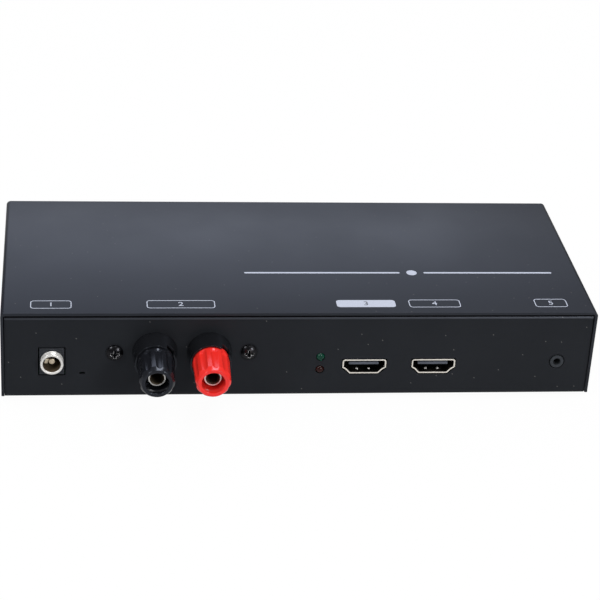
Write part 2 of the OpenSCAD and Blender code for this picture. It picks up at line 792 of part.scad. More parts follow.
module lamp(height) {
    on_panel(lamp_x, height) translate([0, 0, lamp_reach - lamp_len]) {
        translate([0, 0, lamp_len - lamp_d / 2]) sphere(d = lamp_d);
        cylinder(d = lamp_d, h = lamp_len - lamp_d / 2);
        cylinder(d = lamp_rim_d, h = lamp_rim_t);
    }
}

module green_lamp() { color("#1f6b4a") lamp(lamp_high); }
module red_lamp() { color("#5a1f1f") lamp(lamp_low); }

// Two legs on each lamp, back from its rim and then down to the board
module lamp_legs() {
    color("#c9ccd0")
    for (row = [0, 1]) {
        height = row == 0 ? lamp_low : lamp_high;
        back = (row + 1) * leg_pitch + leg_t;
        for (side = [-1, 1])
            translate([lamp_x + side * leg_pitch / 2 - leg_t / 2, panel_y + lamp_len - lamp_reach, base_z]) {
                translate([0, 0, height - leg_t / 2]) cube([leg_t, back, leg_t]);
                translate([0, back - leg_t, board_top]) cube([leg_t, leg_t, height - board_top]);
            }
    }
}

// Binding posts

module collar(x) {
    color("#1d1e20")
    on_panel(x, post_height) difference() {
        union() {
            cylinder(d1 = collar_base_d, d2 = collar_rim_d, h = collar_len);
            translate([0, 0, -sheet_t]) cylinder(d = spigot_d, h = sheet_t + overrun);
        }
        translate([0, 0, cup_floor]) cylinder(r = cap_back_d / 2 + cup_gap, h = cup_depth + overrun);
        cylinder(r = stud_d / 2 + fit_gap, h = collar_len);
        translate([0, 0, -sheet_t - overrun])
            cylinder(r = tail_d / 2 + fit_gap, h = sheet_t + 2 * overrun);
        rotate(-notch_turn) translate([-notch_w / 2, cap_back_d / 4, collar_len - notch_deep])
            cube([notch_w, collar_base_d / 2, notch_deep + overrun]);
    }
}

module stud(x) {
    tail_len = post_board_back + tag_t + post_nut_h + overrun;
    color("#c9cbcd")
    on_panel(x, post_height) difference() {
        union() {
            cylinder(d = stud_d, h = stud_reach);
            translate([0, 0, cup_floor]) cylinder(d = flange_d, h = flange_t);
            translate([0, 0, -tail_len]) cylinder(d = tail_d, h = tail_len);
        }
        translate([0, 0, stud_reach - socket_deep]) cylinder(d = socket_d, h = socket_deep + overrun);
        translate([0, 0, flange_top + wire_hole_d]) rotate([90, 0, 0])
            cylinder(d = wire_hole_d, h = flange_d, center = true);
    }
}

// The insulated cap, fluted for the fingers, with a mouth for a plug and a seat for its sleeve
module cap(x, shade) {
    hollow_x = cap_front_d / 2 + flute_r - flute_deep;
    body_len = cap_len - cap_bevel;
    color(shade)
    on_panel(x, post_height) translate([0, 0, cap_back]) rotate(-cap_turn) difference() {
        union() {
            cylinder(d1 = cap_back_d, d2 = cap_front_d, h = body_len);
            translate([0, 0, body_len]) cylinder(d1 = cap_front_d, d2 = cap_face_d, h = cap_bevel);
        }
        translate([0, 0, cap_len - mouth_deep]) cylinder(d = mouth_d, h = mouth_deep + overrun);
        cylinder(r = stud_d / 2 + 2 * fit_gap, h = cap_len);
        translate([0, 0, -overrun])
            cylinder(r = sleeve_d / 2 + fit_gap, h = sleeve_len + fit_gap + overrun);
        for (i = [0:flutes - 1]) rotate(360 * (i + 0.5) / flutes)
            translate([hollow_x, 0, flute_start]) rotate_extrude() {
                square([flute_r, cap_len]);
                intersection() {
                    circle(r = flute_r);
                    translate([0, -flute_r]) square(flute_r);
                }
            }
    }
}

module sleeve(x) {
    color("#c7a653")
    on_panel(x, post_height) translate([0, 0, cap_back]) difference() {
        cylinder(d = sleeve_d, h = sleeve_len);
        translate([0, 0, -overrun]) cylinder(r = stud_d / 2 + fit_gap, h = sleeve_len + 2 * overrun);
    }
}

module left_collar() { collar(left_post_x); }
module right_collar() { collar(right_post_x); }
module left_stud() { stud(left_post_x); }
module right_stud() { stud(right_post_x); }
module black_cap() { cap(left_post_x, "#1b1c1f"); }
module red_cap() { cap(right_post_x, "#e02a20"); }
module black_cap_sleeve() { sleeve(left_post_x); }
module red_cap_sleeve() { sleeve(right_post_x); }

module at_posts() {
    for (x = [left_post_x, right_post_x]) on_panel(x, post_height) children();
}

module post_bushes() {
    color("#202124") at_posts() translate([0, 0, -sheet_t - bush_t]) difference() {
        cylinder(d = bush_d, h = bush_t);
        translate([0, 0, -overrun]) cylinder(r = tail_d / 2 + fit_gap, h = bush_t + 2 * overrun);
    }
}

module hex_nut(af, height, hole_r) {
    difference() {
        cylinder(d = af / cos(30), h = height, $fn = 6);
        translate([0, 0, -overrun]) cylinder(r = hole_r, h = height + 2 * overrun);
    }
}

// One nut in front of the post board and one behind the solder tag
module post_nuts() {
    color("#c3c5c8") at_posts() for (z = [post_board_front, post_board_back + tag_t + post_nut_h])
        translate([0, 0, -z]) hex_nut(post_nut_af, post_nut_h, tail_d / 2 + fit_gap);
}

// A ring on each post with a tail that leans away from the other post
module solder_tags() {
    ring_r = post_nut_af / 2;
    tail_w = tail_d * tag_tail_share;
    color("#d2d3d0") for (side = [-1, 1])
        on_panel(post_mid + side * post_pitch / 2, post_height)
            translate([0, 0, -post_board_back - tag_t]) rotate(-side * tag_turn) difference() {
                union() {
                    cylinder(r = ring_r, h = tag_t);
                    translate([-tail_w / 2, 0, 0]) cube([tail_w, tag_len, tag_t]);
                }
                translate([0, 0, -overrun]) cylinder(r = tail_d / 2 + fit_gap, h = tag_t + 2 * overrun);
                translate([0, tag_len - tail_w / 2, -overrun])
                    cylinder(d = tail_w / 2, h = tag_t + 2 * overrun);
            }
}

// Post board

module at_panel_screws() {
    for (side = [-1, 1]) on_panel(post_mid + side * panel_screw_pitch / 2, post_height) children();
}

module post_board() {
    color("#1f5a3a")
    difference() {
        on_panel(post_mid, post_board_bottom)
            translate([-post_board_w / 2, 0, -post_board_back])
                cube([post_board_w, post_board_top - post_board_bottom, board_t]);
        at_posts() translate([0, 0, -post_board_back - overrun])
            cylinder(r = tail_d / 2 + fit_gap, h = board_t + 2 * overrun);
        at_panel_screws() translate([0, 0, -post_board_back - overrun])
            cylinder(r = tapped_r, h = board_t + 2 * overrun);
    }
}

module board_spacers() {
    color("#b9bcc0") at_panel_screws() translate([0, 0, -post_board_front]) difference() {
        cylinder(d = spacer_d, h = spacer_len);
        translate([0, 0, -overrun]) cylinder(r = tapped_r, h = spacer_len + 2 * overrun);
    }
}

module panel_screws() {
    color("#1b1c1e") at_panel_screws() pan_screw(post_board_back + small_nut_h + overrun);
}

module panel_nuts() {
    color("#b9bcc0") at_panel_screws() translate([0, 0, -post_board_back - small_nut_h])
        hex_nut(small_nut_af, small_nut_h, tapped_r);
}

// Moves its children to the foot of the post board, behind it, where the link between the boards is
module at_link() {
    link_x = post_mid + (link_place_share - 0.5) * post_board_w;
    translate([link_x, panel_y + post_board_back, base_z]) children();
}

module link_header() {
    color("#1c1d1f")
    at_link() translate([-pins * pin_pitch / 2, 0, link_height - pin_pitch / 2])
        cube([pins * pin_pitch, pin_pitch, pin_pitch]);
}

module link_pins() {
    color("#d9b45c")
    at_link() for (i = [0:pins - 1]) translate([(i - (pins - 1) / 2) * pin_pitch - pin_t / 2, pin_pitch, 0]) {
        translate([0, 0, link_height - pin_t / 2]) cube([pin_t, pin_pitch, pin_t]);
        translate([0, pin_pitch - pin_t, board_top]) cube([pin_t, pin_t, link_height - board_top]);
    }
}

// Parts on the main board

module chip(w, l, t) {
    translate([-w / 2, -l / 2, 0]) cube([w, l, t]);
}

module processor_chip() {
    color("#1a1b1d") on_board(processor_place_shares) chip(processor_w, processor_w, chip_t);
}

module heat_sink() {
    fin_step = (sink_w - fin_t) / (fins - 1);
    color("#8f959b")
    on_board(processor_place_shares) translate([0, 0, chip_t]) {
        chip(sink_w, sink_w, sink_base_t);
        for (i = [0:fins - 1])
            translate([-sink_w / 2 + i * fin_step, -sink_w / 2, 0]) cube([fin_t, sink_w, sink_h]);
    }
}

module line_chip() {
    color("#1a1b1d") on_board(line_chip_place_shares) chip(line_chip_w, line_chip_w, chip_t);
}

module memory_chips() {
    color("#1a1b1d") on_board(memory_place_shares) for (side = [-1, 1])
        translate([0, side * (memory_w + memory_gap) / 2, 0]) chip(memory_l, memory_w, memory_t);
}

module capacitor_cans() {
    seat_h = capacitor_h * capacitor_seat_share;
    color("#a9adb3") on_board(capacitor_place_shares) for (i = [0:capacitors - 1])
        translate([i * can_pitch, 0, 0]) {
            chip(capacitor_d, capacitor_d, seat_h);
            cylinder(d = capacitor_d, h = capacitor_h);
        }
}

module power_coils() {
    color("#3c3d40") on_board(coil_place_shares) for (i = [0:coils - 1])
        translate([i * can_pitch, 0, 0]) intersection() {
            chip(coil_w, coil_w, coil_h);
            cylinder(d = coil_w * coil_round_share, h = coil_h);
        }
}

module crystal_can() {
    color("#c9ccd0") on_board(crystal_place_shares) {
        chip(crystal_l - crystal_w, crystal_w, crystal_h);
        for (side = [-1, 1])
            translate([side * (crystal_l - crystal_w) / 2, 0, 0]) cylinder(d = crystal_w, h = crystal_h);
    }
}

// A ferrite core with three legs, and the coil on its middle leg
module transformer_core() {
    window_w = (core_w - 3 * core_leg) / 2;
    color("#3a3a3c")
    on_board(transformer_place_shares) translate([0, core_d / 2, 0]) rotate([90, 0, 0])
        linear_extrude(core_d) difference() {
            translate([-core_w / 2, 0]) square([core_w, core_h]);
            for (side = [-1, 1])
                translate([(side * (core_leg + window_w) - window_w) / 2, core_leg])
                    square([window_w, core_h - 2 * core_leg]);
        }
}

module transformer_coil() {
    slack = 4 * fit_gap;
    coil_out_w = core_w - 2 * core_leg - slack;
    coil_in_w = core_leg + slack;
    color("#c98a2a")
    on_board(transformer_place_shares) translate([0, 0, core_leg + slack / 2])
        linear_extrude(core_h - 2 * core_leg - slack) difference() {
            translate([-coil_out_w / 2, -core_d / 2 - winding_out])
                round_rect(coil_out_w, core_d + 2 * winding_out, winding_out);
            translate([-coil_in_w / 2, -core_d / 2 - slack / 2]) square([coil_in_w, core_d + slack]);
        }
}

cover();
chassis();
cover_screws();
rubber_feet();
main_board();
standoffs();
board_screws();
power_jack_body();
power_jack_barrel();
power_jack_pin();
power_jack_spring();
output_socket_shell();
output_socket_tongue();
output_socket_contacts();
input_socket_shell();
input_socket_tongue();
input_socket_contacts();
remote_jack_body();
remote_jack_contacts();
green_lamp();
red_lamp();
lamp_legs();
left_collar();
right_collar();
left_stud();
right_stud();
black_cap();
red_cap();
black_cap_sleeve();
red_cap_sleeve();
post_bushes();
post_nuts();
solder_tags();
post_board();
board_spacers();
panel_screws();
panel_nuts();
link_header();
link_pins();
processor_chip();
heat_sink();
line_chip();
memory_chips();
capacitor_cans();
power_coils();
crystal_can();
transformer_core();
transformer_coil();
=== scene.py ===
"""A two-wire video extender in its folded steel case: finishes, printing and turned parts."""

import math
from contextlib import contextmanager

import bmesh
import bpy
from mathutils import Matrix, Vector


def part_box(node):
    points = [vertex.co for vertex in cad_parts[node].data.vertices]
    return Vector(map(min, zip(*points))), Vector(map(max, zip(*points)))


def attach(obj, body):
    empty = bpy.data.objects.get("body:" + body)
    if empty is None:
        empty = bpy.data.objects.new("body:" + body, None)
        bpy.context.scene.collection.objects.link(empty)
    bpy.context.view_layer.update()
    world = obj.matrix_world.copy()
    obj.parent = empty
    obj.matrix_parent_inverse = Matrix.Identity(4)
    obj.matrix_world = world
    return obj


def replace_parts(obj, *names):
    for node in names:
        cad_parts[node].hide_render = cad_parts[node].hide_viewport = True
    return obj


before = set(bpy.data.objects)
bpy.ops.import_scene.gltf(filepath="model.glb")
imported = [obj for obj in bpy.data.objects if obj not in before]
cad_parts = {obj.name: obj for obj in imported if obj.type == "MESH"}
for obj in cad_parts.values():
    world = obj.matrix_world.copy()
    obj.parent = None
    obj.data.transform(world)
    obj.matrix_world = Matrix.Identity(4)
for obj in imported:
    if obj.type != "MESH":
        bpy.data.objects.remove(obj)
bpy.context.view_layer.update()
MM = 0.001

# How near points lie that are joined up, how flatly faces meet that are made one, and how much of a face's
# normal runs along an axis that the face looks along
SAME_POINT = 0.002 * MM
SAME_LINE_POINT = 0.0001 * MM
SAME_DRAWN_POINT = 0.001 * MM
FLAT_ENOUGH = math.radians(0.3)
FACES_OUT = 0.95

# The folded case: its sheet, its broken edges, and how far the cover's walls end above its lowest point
SHEET = 1.0 * MM
EDGE_BREAK = 0.12 * MM
FINE_EDGE = 0.06 * MM
WALL_TRIM = 0.85 * MM

# The front panel's top bend: its radius, its lowest point, and the slopes between which it gets a lighter,
# glossier coat as a painted highlight; steeper faces above them get a nearly black coat as painted shade
BEND_R = 1.6 * MM
BEND_LOWEST = 28 * MM
BEND_FROM = 0.1
BEND_STEEPEST = 0.56

# The chassis's two lower front corners, which reach the inside of the cover's walls
CORNER_DEPTH = 6 * MM
CORNER_FROM = 96.8 * MM
WALL_INSIDE = 99 * MM
WALL_OUTSIDE = WALL_INSIDE + SHEET

# The printing on the cover. Places are in millimetres, from the middle and from the cover's front edge
PRINT_RISE = 0.03 * MM
PRINT_SINK = 0.02 * MM
PRINT_CORNER_STEPS = 6
FRAME_LINE = 0.3 * MM
FRAME_CORNER = 1.2 * MM
DIGIT_HEIGHT = 2.7 * MM
TEXT_SIZE = 1.4
LABEL_FRAMES = [("power", "1", -90.3, -76.8, 3.5, 8.9), ("wire", "2", -52.1, -29.4, 3.6, 9.0),
                ("input", "4", 36.0, 53.6, 3.9, 9.2), ("remote", "5", 79.3, 90.5, 4.0, 9.6)]
OUTPUT_LABEL = (11.4, 31.4, 4.1, 9.0)
RULE_END = 0.45 * MM
DOT_R = 1.75 * MM
RULES = [("left_rule", -17.9, 36.2, 28.3, 29.3, RULE_END), ("right_rule", 44.6, 90.0, 28.3, 29.3, RULE_END),
         ("rule_dot", 38.6, 42.2, 27.0, 30.6, DOT_R)]

# The screw caps of the binding posts, measured along the post from the back of the cap
CAP_BACK_R = 6.2 * MM
CAP_FRONT_R = 5.85 * MM
CAP_FACE_R = 4.95 * MM
CAP_LENGTH = 14.4 * MM
CAP_BEVEL = 1.4 * MM
CAP_MOUTH_R = 3.85 * MM
CAP_MOUTH_DEPTH = 6.0 * MM
CAP_BORE_R = 2.92 * MM
CAP_POCKET_R = 4.36 * MM
CAP_POCKET_DEPTH = 7.05 * MM
CAP_TURN = math.radians(-6)
CAP_SEGMENTS = 360
CAP_STEP = 0.3 * MM

# The cap's section, as radius, height and the round of each corner
CAP_SECTION = [
    (CAP_POCKET_R, 0, 0.08 * MM),
    (CAP_BACK_R, 0, 0.3 * MM),
    (CAP_FRONT_R, CAP_LENGTH - CAP_BEVEL, 0.25 * MM),
    (CAP_FACE_R, CAP_LENGTH, 0.25 * MM),
    (CAP_MOUTH_R, CAP_LENGTH, 0.25 * MM),
    (CAP_MOUTH_R, CAP_LENGTH - CAP_MOUTH_DEPTH, 0.1 * MM),
    (CAP_BORE_R, CAP_LENGTH - CAP_MOUTH_DEPTH, 0.08 * MM),
    (CAP_BORE_R, CAP_POCKET_DEPTH, 0.05 * MM),
    (CAP_POCKET_R, CAP_POCKET_DEPTH, 0.05 * MM),
]

# The cap's flutes
FLUTES = 10
FLUTE_R = 2.0 * MM
FLUTE_DEPTH = 0.36 * MM
FLUTE_START = 3.4 * MM
FLUTE_BLEND = 0.05 * MM

# The studs: the bore, its countersink, how much of that is darkened as painted shade, and how far from the
# stud's back the painted shade ends
BORE_R = 2.0 * MM
BORE_SLACK = 0.1 * MM
MOUTH_SLACK = 0.05 * MM
COUNTERSINK = 0.4 * MM
COUNTERSINK_SHARE = 0.95
STUD_BACK = 2 * MM

# The collars and the screws: the rounds along their edges, a painted highlight on the collars and wear on
# the screws, the recess in a panel screw's head, painted shade below its worn rim, and how much of a cover
# screw's head stands out
COLLAR_EDGE = 0.24 * MM
COLLAR_ANGLE = 45
SCREW_WEAR = 0.13 * MM
SCREW_ANGLE = 55
SCREW_HEAD_R = 2.75 * MM
RECESS_REACH = 1.6 * MM
RECESS_WEAR = 0.35 * MM
RECESS_DEEP = 1.5 * MM
HEAD_SHARE = 0.28

# The power jack, measured out of the panel
BODY_SHRINK = 0.968
JACK_LIFT = 0.2 * MM
BARREL_R = 3.78 * MM
BARREL_BORE = 2.95 * MM
BARREL_REACH = 2.6 * MM
BARREL_DEEP = 9.0 * MM
BARREL_LIP = 0.5 * MM
BARREL_SEGMENTS = 160
BARREL_SECTION = [
    (BARREL_BORE, -BARREL_DEEP, 0.1 * MM),
    (BARREL_R, -BARREL_DEEP, 0.2 * MM),
    (BARREL_R, BARREL_REACH, 0.22 * MM),
    (BARREL_BORE, BARREL_REACH, 0.3 * MM),
]
BORE_WALL = 0.05 * MM

# The barrel's thread: its pitch and depth, where it ends and fades out, the step of the section's points
# along it, the shortest stretch that gets such points, and how near the outside they have to be
THREAD_PITCH = 0.7 * MM
THREAD_DEPTH = 0.16 * MM
THREAD_END = 0.3 * MM
THREAD_FADE = 0.2 * MM
THREAD_STEP = 0.07 * MM
THREAD_SHORTEST = 1 * MM
THREAD_SLACK = 0.01 * MM
THREAD_SKIN = 0.02 * MM

# The jack's pin and its contact spring, whose path is in millimetres, out of the panel and off the middle
PIN_R = 1.05 * MM
PIN_ROUND = 0.35 * MM
PIN_BACK = 2.1 * MM
SPRING_W = 1.8 * MM
SPRING_SHEET = 0.25 * MM
SPRING_EDGE = 0.08 * MM
SPRING_TURN = math.radians(74)
SPRING_PATH = [(-8.0, 2.5), (-2.4, 2.4), (0.2, 1.45), (0.5, 1.3), (0.75, 1.5), (1.0, 2.4)]

# The lamps
LAMP_R = 1.44 * MM
LAMP_REACH = 0.75 * MM
LAMP_ROUND = 1.35 * MM
LAMP_DEEP = 3.0 * MM
LAMP_STEPS = 10
ROD_SEGMENTS = 64

# The video sockets. The outline of a shell is in millimetres: across, up, and the round of each corner
SHELL_SHEET = 0.45 * MM
SHELL_DEPTH = 13.4 * MM
SHELL_LIP = 0.2 * MM
SHELL_FLOOR = 0.2
SHELL_OUTLINE = [(-7.45, 5.6, 0.9), (-7.45, 2.45, 0.4), (-6.3, 1.75, 0.6), (-4.9, SHELL_FLOOR, 0.5),
                 (4.9, SHELL_FLOOR, 0.5), (6.3, 1.75, 0.6), (7.45, 2.45, 0.4), (7.45, 5.6, 0.9)]
DIMPLE_OFFSET = 2.05 * MM
DIMPLE_BACK = 2.6 * MM
DIMPLE_R = 0.5 * MM
DIMPLE_SHAPE = (1, 1.15, 0.7, 1)

# The finishes: the values that most of a noise lies between, and the two plain tints
NOISE_LOW = 0.3
NOISE_HIGH = 0.7
SKY = (0.76, 0.83, 1.0)
WHITE = (1, 1, 1)

# The dust on the powder coat: how its pattern is turned, its cells to a metre, how sharply cells are chosen,
# a speck's core and edge as shares of a cell, and its colour
DUST_TURN = (0.7, 0.6, 0.2)
DUST_CELLS = 220.0
DUST_CHOICE = 0.001
DUST_CORE = 0.012
DUST_EDGE = 0.034
DUST_COLOUR = (0.17, 0.165, 0.16)

# The sockets of the mix nodes, whose names don't tell them apart
NUMBER_A, NUMBER_B, NUMBER_OUT = 2, 3, 0
COLOUR_A, COLOUR_B, COLOUR_OUT = 6, 7, 2
SHADER_A, SHADER_B = 1, 2

# The stage, in metres: the floor, how brightly it and the world show to some kinds of ray, and the dark card
FLOOR_SIZE = 12
FLOOR_WHITE = 0.97
FLOOR_SHINE = 0.42
WORLD_FILL = 0.45
WORLD_SHINE = 0.16
CARD_SIZE = 1
CARD_PLACE = (-0.5, 0.6, 0.3)

# Each softbox: its name, place and target, its width and height, its power and its colour
SOFTBOXES = [
    ("back_softbox", (-0.72, 1.75, 1.15), (0, 0, 0), (3.4, 1.9), 21, SKY),
    ("top_softbox", (0.25, -0.15, 1.3), (0.05, 0, 0), (0.9, 0.5), 9, WHITE),
    ("left_strip", (-0.95, -0.6, 1.0), (-0.05, 0, 0), (0.25, 0.5), 5, WHITE),
    ("right_strip", (0.9, -1.3, 0.75), (0, 0, 0), (0.3, 0.4), 9, WHITE),
]

# The camera, in the part's own frame: where it stands, how it is turned, and its lens
CAMERA_PLACE = Vector((-78.7, -593.9, 344.1)) * MM
CAMERA_YAW = 0.13597
CAMERA_PITCH = 0.49370
CAMERA_ROLL = 0.06349
CAMERA_FOCAL_PX = 1948.7
CAMERA_NEAR = 0.01
CAMERA_FAR = 50
PICTURE_PX = 600
SENSOR_MM = 36.0


# Working on meshes


def select_only(obj):
    """Leaves one object selected and active."""
    bpy.ops.object.select_all(action="DESELECT")
    obj.select_set(True)
    bpy.context.view_layer.objects.active = obj
    return obj


@contextmanager
def editing(obj, kind="VERT", choice="SELECT"):
    """Edit mode on one object, with all of it selected at first, or nothing where choice is DESELECT."""
    select_only(obj)
    bpy.ops.object.mode_set(mode="EDIT")
    bpy.ops.mesh.select_mode(type=kind)
    bpy.ops.mesh.select_all(action=choice)
    yield bmesh.from_edit_mesh(obj.data)
    bpy.ops.object.mode_set(mode="OBJECT")


def pick(obj, bm, items, wanted):
    """Selects the vertices, edges or faces that wanted() says yes to."""
    for item in items:
        item.select_set(bool(wanted(item)))
    bm.select_flush_mode()
    bmesh.update_edit_mesh(obj.data)


def named(name):
    """Names the object that an operator has just made, and its mesh."""
    obj = bpy.context.view_layer.objects.active
    obj.name = name
    obj.data.name = name
    return obj


def added(name, primitive, **values):
    """A new primitive, alone in the selection and under its name."""
    bpy.ops.object.select_all(action="DESELECT")
    primitive(**values)
    return named(name)


def settle(obj, matrix):
    """Moves a piece to its place and puts the place into its mesh."""
    select_only(obj)
    obj.matrix_world = matrix @ obj.matrix_world
    bpy.ops.object.transform_apply(location=True, rotation=True, scale=True)
    return obj


def smooth(obj, angle=32):
    """Shades a mesh smooth, but not over edges sharper than an angle in degrees."""
    select_only(obj)
    bpy.ops.object.shade_smooth_by_angle(angle=math.radians(angle))
    return obj


def modified(obj, kind, **values):
    """Gives a mesh a modifier with its settings, and applies it."""
    select_only(obj)
    modifier = obj.modifiers.new(kind.lower(), kind)
    for label, value in values.items():
        setattr(modifier, label, value)
    bpy.ops.object.modifier_apply(modifier=modifier.name)
    return obj


def harden(obj, width, segments=2, angle=30, edge_slot=-1):
    """Breaks the sharp edges of a mesh with a narrow round, which may have a material slot of its own."""
    return modified(obj, "BEVEL", width=width, segments=segments, limit_method="ANGLE",
                    angle_limit=math.radians(angle), material=edge_slot)


def dressed(node, name, width):
    """A copy of a CAD node, with its triangles joined up and its edges broken, which stands for the node."""
    obj = bpy.data.objects.new(name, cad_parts[node].data.copy())
    obj.data.name = name
    bpy.context.scene.collection.objects.link(obj)
    obj.data.materials.clear()
    with editing(obj):
        bpy.ops.mesh.customdata_custom_splitnormals_clear()
        bpy.ops.mesh.remove_doubles(threshold=SAME_POINT)
        bpy.ops.mesh.dissolve_limited(angle_limit=FLAT_ENOUGH)
    if width:
        harden(obj, width)
    smooth(obj)
    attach(obj, "case")
    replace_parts(obj, node)
    return obj


def rounded_corners(corners, steps=5):
    """The points of a closed outline, from corners as (x, y, radius), each made an arc of its radius."""
    made = []
    for i, (x, y, radius) in enumerate(corners):
        corner = Vector((x, y))
        if not radius:
            made.append(corner)
            continue
        back = Vector(corners[i - 1][:2]) - corner
        ahead = Vector(corners[(i + 1) % len(corners)][:2]) - corner
        back.normalize()
        ahead.normalize()
        half = back.angle(ahead) / 2
        middle = corner + (back + ahead).normalized() * radius / math.sin(half)
        first = (corner + back * radius / math.tan(half) - middle).normalized()
        last = (corner + ahead * radius / math.tan(half) - middle).normalized()
        for k in range(steps + 1):
            made.append(middle + first.slerp(last, k / steps) * radius)
    return made


def stepped(points, outside, step, shortest=0.0):
    """Adds points, a step apart, along the stretches of a closed section that lie outside a radius."""
    made = []
    for point, after in zip(points, points[1:] + points[:1]):
        made.append(point)
        outer = min(point.x, after.x) > outside and abs(after.y - point.y) >= shortest
        parts = int((after - point).length / step) if outer else 0
        made += [point.lerp(after, k / parts) for k in range(1, parts)]
    return made


def drawn_line(name, points, closed):
    """A wire through points, made by extruding one vertex from point to point."""
    obj = added(name, bpy.ops.mesh.primitive_plane_add, size=MM, location=(0, 0, 0))
    with editing(obj):
        bpy.ops.mesh.merge(type="CENTER")
        bpy.ops.transform.translate(value=points[0])
        for before, after in zip(points, points[1:] + points[:1] if closed else points[1:]):
            bpy.ops.mesh.extrude_vertices_move(TRANSFORM_OT_translate={"value": after - before})
        if closed:
            bpy.ops.mesh.select_all(action="SELECT")
            bpy.ops.mesh.remove_doubles(threshold=SAME_LINE_POINT)
    return obj


def turned(name, section, segments):
    """A solid turned about Z from the points of its section, given as (radius, height)."""
    obj = drawn_line(name, [Vector((point.x, 0, point.y)) for point in section], closed=True)
    modified(obj, "SCREW", steps=segments, render_steps=segments, use_merge_vertices=True,
             merge_threshold=SAME_DRAWN_POINT)
    with editing(obj):
        bpy.ops.mesh.normals_make_consistent(inside=False)
    return obj


def face_middle(node):
    """The middle of a CAD node as it is seen from the front, as x and z."""
    low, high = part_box(node)
    return (low.x + high.x) / 2, (low.z + high.z) / 2


def out_of_panel(x, z, y):
    """A place in front view at a depth y, where local Z points out of the panel and local X to the right."""
    return Matrix.Translation((x, y, z)) @ Matrix.Rotation(math.pi / 2, 4, "X")


# Finishes


def shader_of(made):
    """The one shader of a material."""
    return made.node_tree.nodes["Principled BSDF"]


def finish(name, colour, roughness, metallic=0.0, ior=1.5):
    """A new material with the plain values set on its shader."""
    made = bpy.data.materials.new(name)
    made.use_nodes = True
    shader = shader_of(made)
    shader.inputs["Base Color"].default_value = (*colour, 1)
    shader.inputs["Roughness"].default_value = roughness
    shader.inputs["Metallic"].default_value = metallic
    shader.inputs["IOR"].default_value = ior
    return made


def add_node(made, kind, **values):
    """A node with its settings as attributes and its inputs by their names."""
    node = made.node_tree.nodes.new(kind)
    for label, value in values.items():
        if hasattr(node, label):
            setattr(node, label, value)
        else:
            node.inputs[label].default_value = value
    return node


def join(made, *steps):
    """Links (node, output) to (node, input), pair after pair."""
    for (source, output), (target, entry) in zip(steps[::2], steps[1::2]):
        made.node_tree.links.new(source.outputs[output], target.inputs[entry])


def object_place(made, stretch=(1, 1, 1)):
    """Object coordinates, stretched along each axis."""
    place = add_node(made, "ShaderNodeTexCoord")
    mapping = add_node(made, "ShaderNodeMapping")
    mapping.inputs["Scale"].default_value = stretch
    join(made, (place, "Object"), (mapping, "Vector"))
    return mapping


def grain(made, scale, detail=2.0, stretch=(1, 1, 1)):
    """Noise over the object's own coordinates."""
    place = object_place(made, stretch)
    noise = add_node(made, "ShaderNodeTexNoise", Scale=scale, Detail=detail)
    join(made, (place, "Vector"), (noise, "Vector"))
    return noise


def bumped(made, source, strength, distance):
    """Feeds a pattern into the shader's normal as a height."""
    bump = add_node(made, "ShaderNodeBump", Strength=strength, Distance=distance)
    join(made, (source, "Fac"), (bump, "Height"), (bump, "Normal"), (shader_of(made), "Normal"))


def ramp(made, source, stops):
    """A colour ramp on a pattern, with stops as (place, colour)."""
    node = add_node(made, "ShaderNodeValToRGB")
    for element, (place, colour) in zip(node.color_ramp.elements, stops):
        element.position = place
        element.color = (*colour, 1)
    join(made, (source, "Fac"), (node, "Fac"))
    return node


def toned(made, source, stops):
    """Colours a material by a ramp on a pattern."""
    join(made, (ramp(made, source, stops), "Color"), (shader_of(made), "Base Color"))


def span(made, source, output, low, high, lowest, highest):
    """A value between low and high stretched to lowest and highest."""
    node = add_node(made, "ShaderNodeMapRange")
    for label, value in (("From Min", low), ("From Max", high), ("To Min", lowest), ("To Max", highest)):
        node.inputs[label].default_value = value
    join(made, (source, output), (node, "Value"))
    return node


def glossed(made, source, sharpest, dullest):
    """Lets a pattern vary a material's roughness."""
    gloss = span(made, source, "Fac", NOISE_LOW, NOISE_HIGH, sharpest, dullest)
    join(made, (gloss, "Result"), (shader_of(made), "Roughness"))


def shade(colour, share):
    """A colour made darker or lighter by a share, up to white."""
    return [min(1, share * c) for c in colour]


def dust(made, few):
    """Scattered dust specks as a factor, where few is the share of the pattern's cells that carries one."""
    place = object_place(made)
    place.inputs["Rotation"].default_value = DUST_TURN
    cells = add_node(made, "ShaderNodeTexVoronoi", voronoi_dimensions="2D", Scale=DUST_CELLS)
    join(made, (place, "Vector"), (cells, "Vector"))
    parts = add_node(made, "ShaderNodeSeparateColor")
    join(made, (cells, "Color"), (parts, "Color"))
    chosen = span(made, parts, "Red", few, few + DUST_CHOICE, 1.0, 0.0)
    near = span(made, cells, "Distance", DUST_CORE, DUST_EDGE, 1.0, 0.0)
    both = add_node(made, "ShaderNodeMath", operation="MULTIPLY")
    join(made, (chosen, "Result"), (both, 0), (near, "Result"), (both, 1))
    return both


def powder_coat(name, colour, few, shine):
    """Black powder coat: a fine orange peel, a slow change of gloss, and a few pale specks of dust."""
    made = finish(name, colour, roughness=0.42)
    shader = shader_of(made)
    shader.inputs["Specular Tint"].default_value = (*SKY, 1)
    shader.inputs["Specular IOR Level"].default_value = shine
    bumped(made, grain(made, scale=1900, detail=3), strength=0.22, distance=0.00004)
    cloud = grain(made, scale=26, detail=3)
    glossed(made, cloud, sharpest=0.36, dullest=0.46)
    tone = ramp(made, cloud, [(NOISE_LOW, colour), (NOISE_HIGH, shade(colour, 1.25))])
    speck = add_node(made, "ShaderNodeMix", data_type="RGBA")
    speck.inputs[COLOUR_B].default_value = (*DUST_COLOUR, 1)
    join(made, (dust(made, few), "Value"), (speck, "Factor"), (tone, "Color"), (speck, COLOUR_A),
         (speck, COLOUR_OUT), (shader, "Base Color"))
    return made


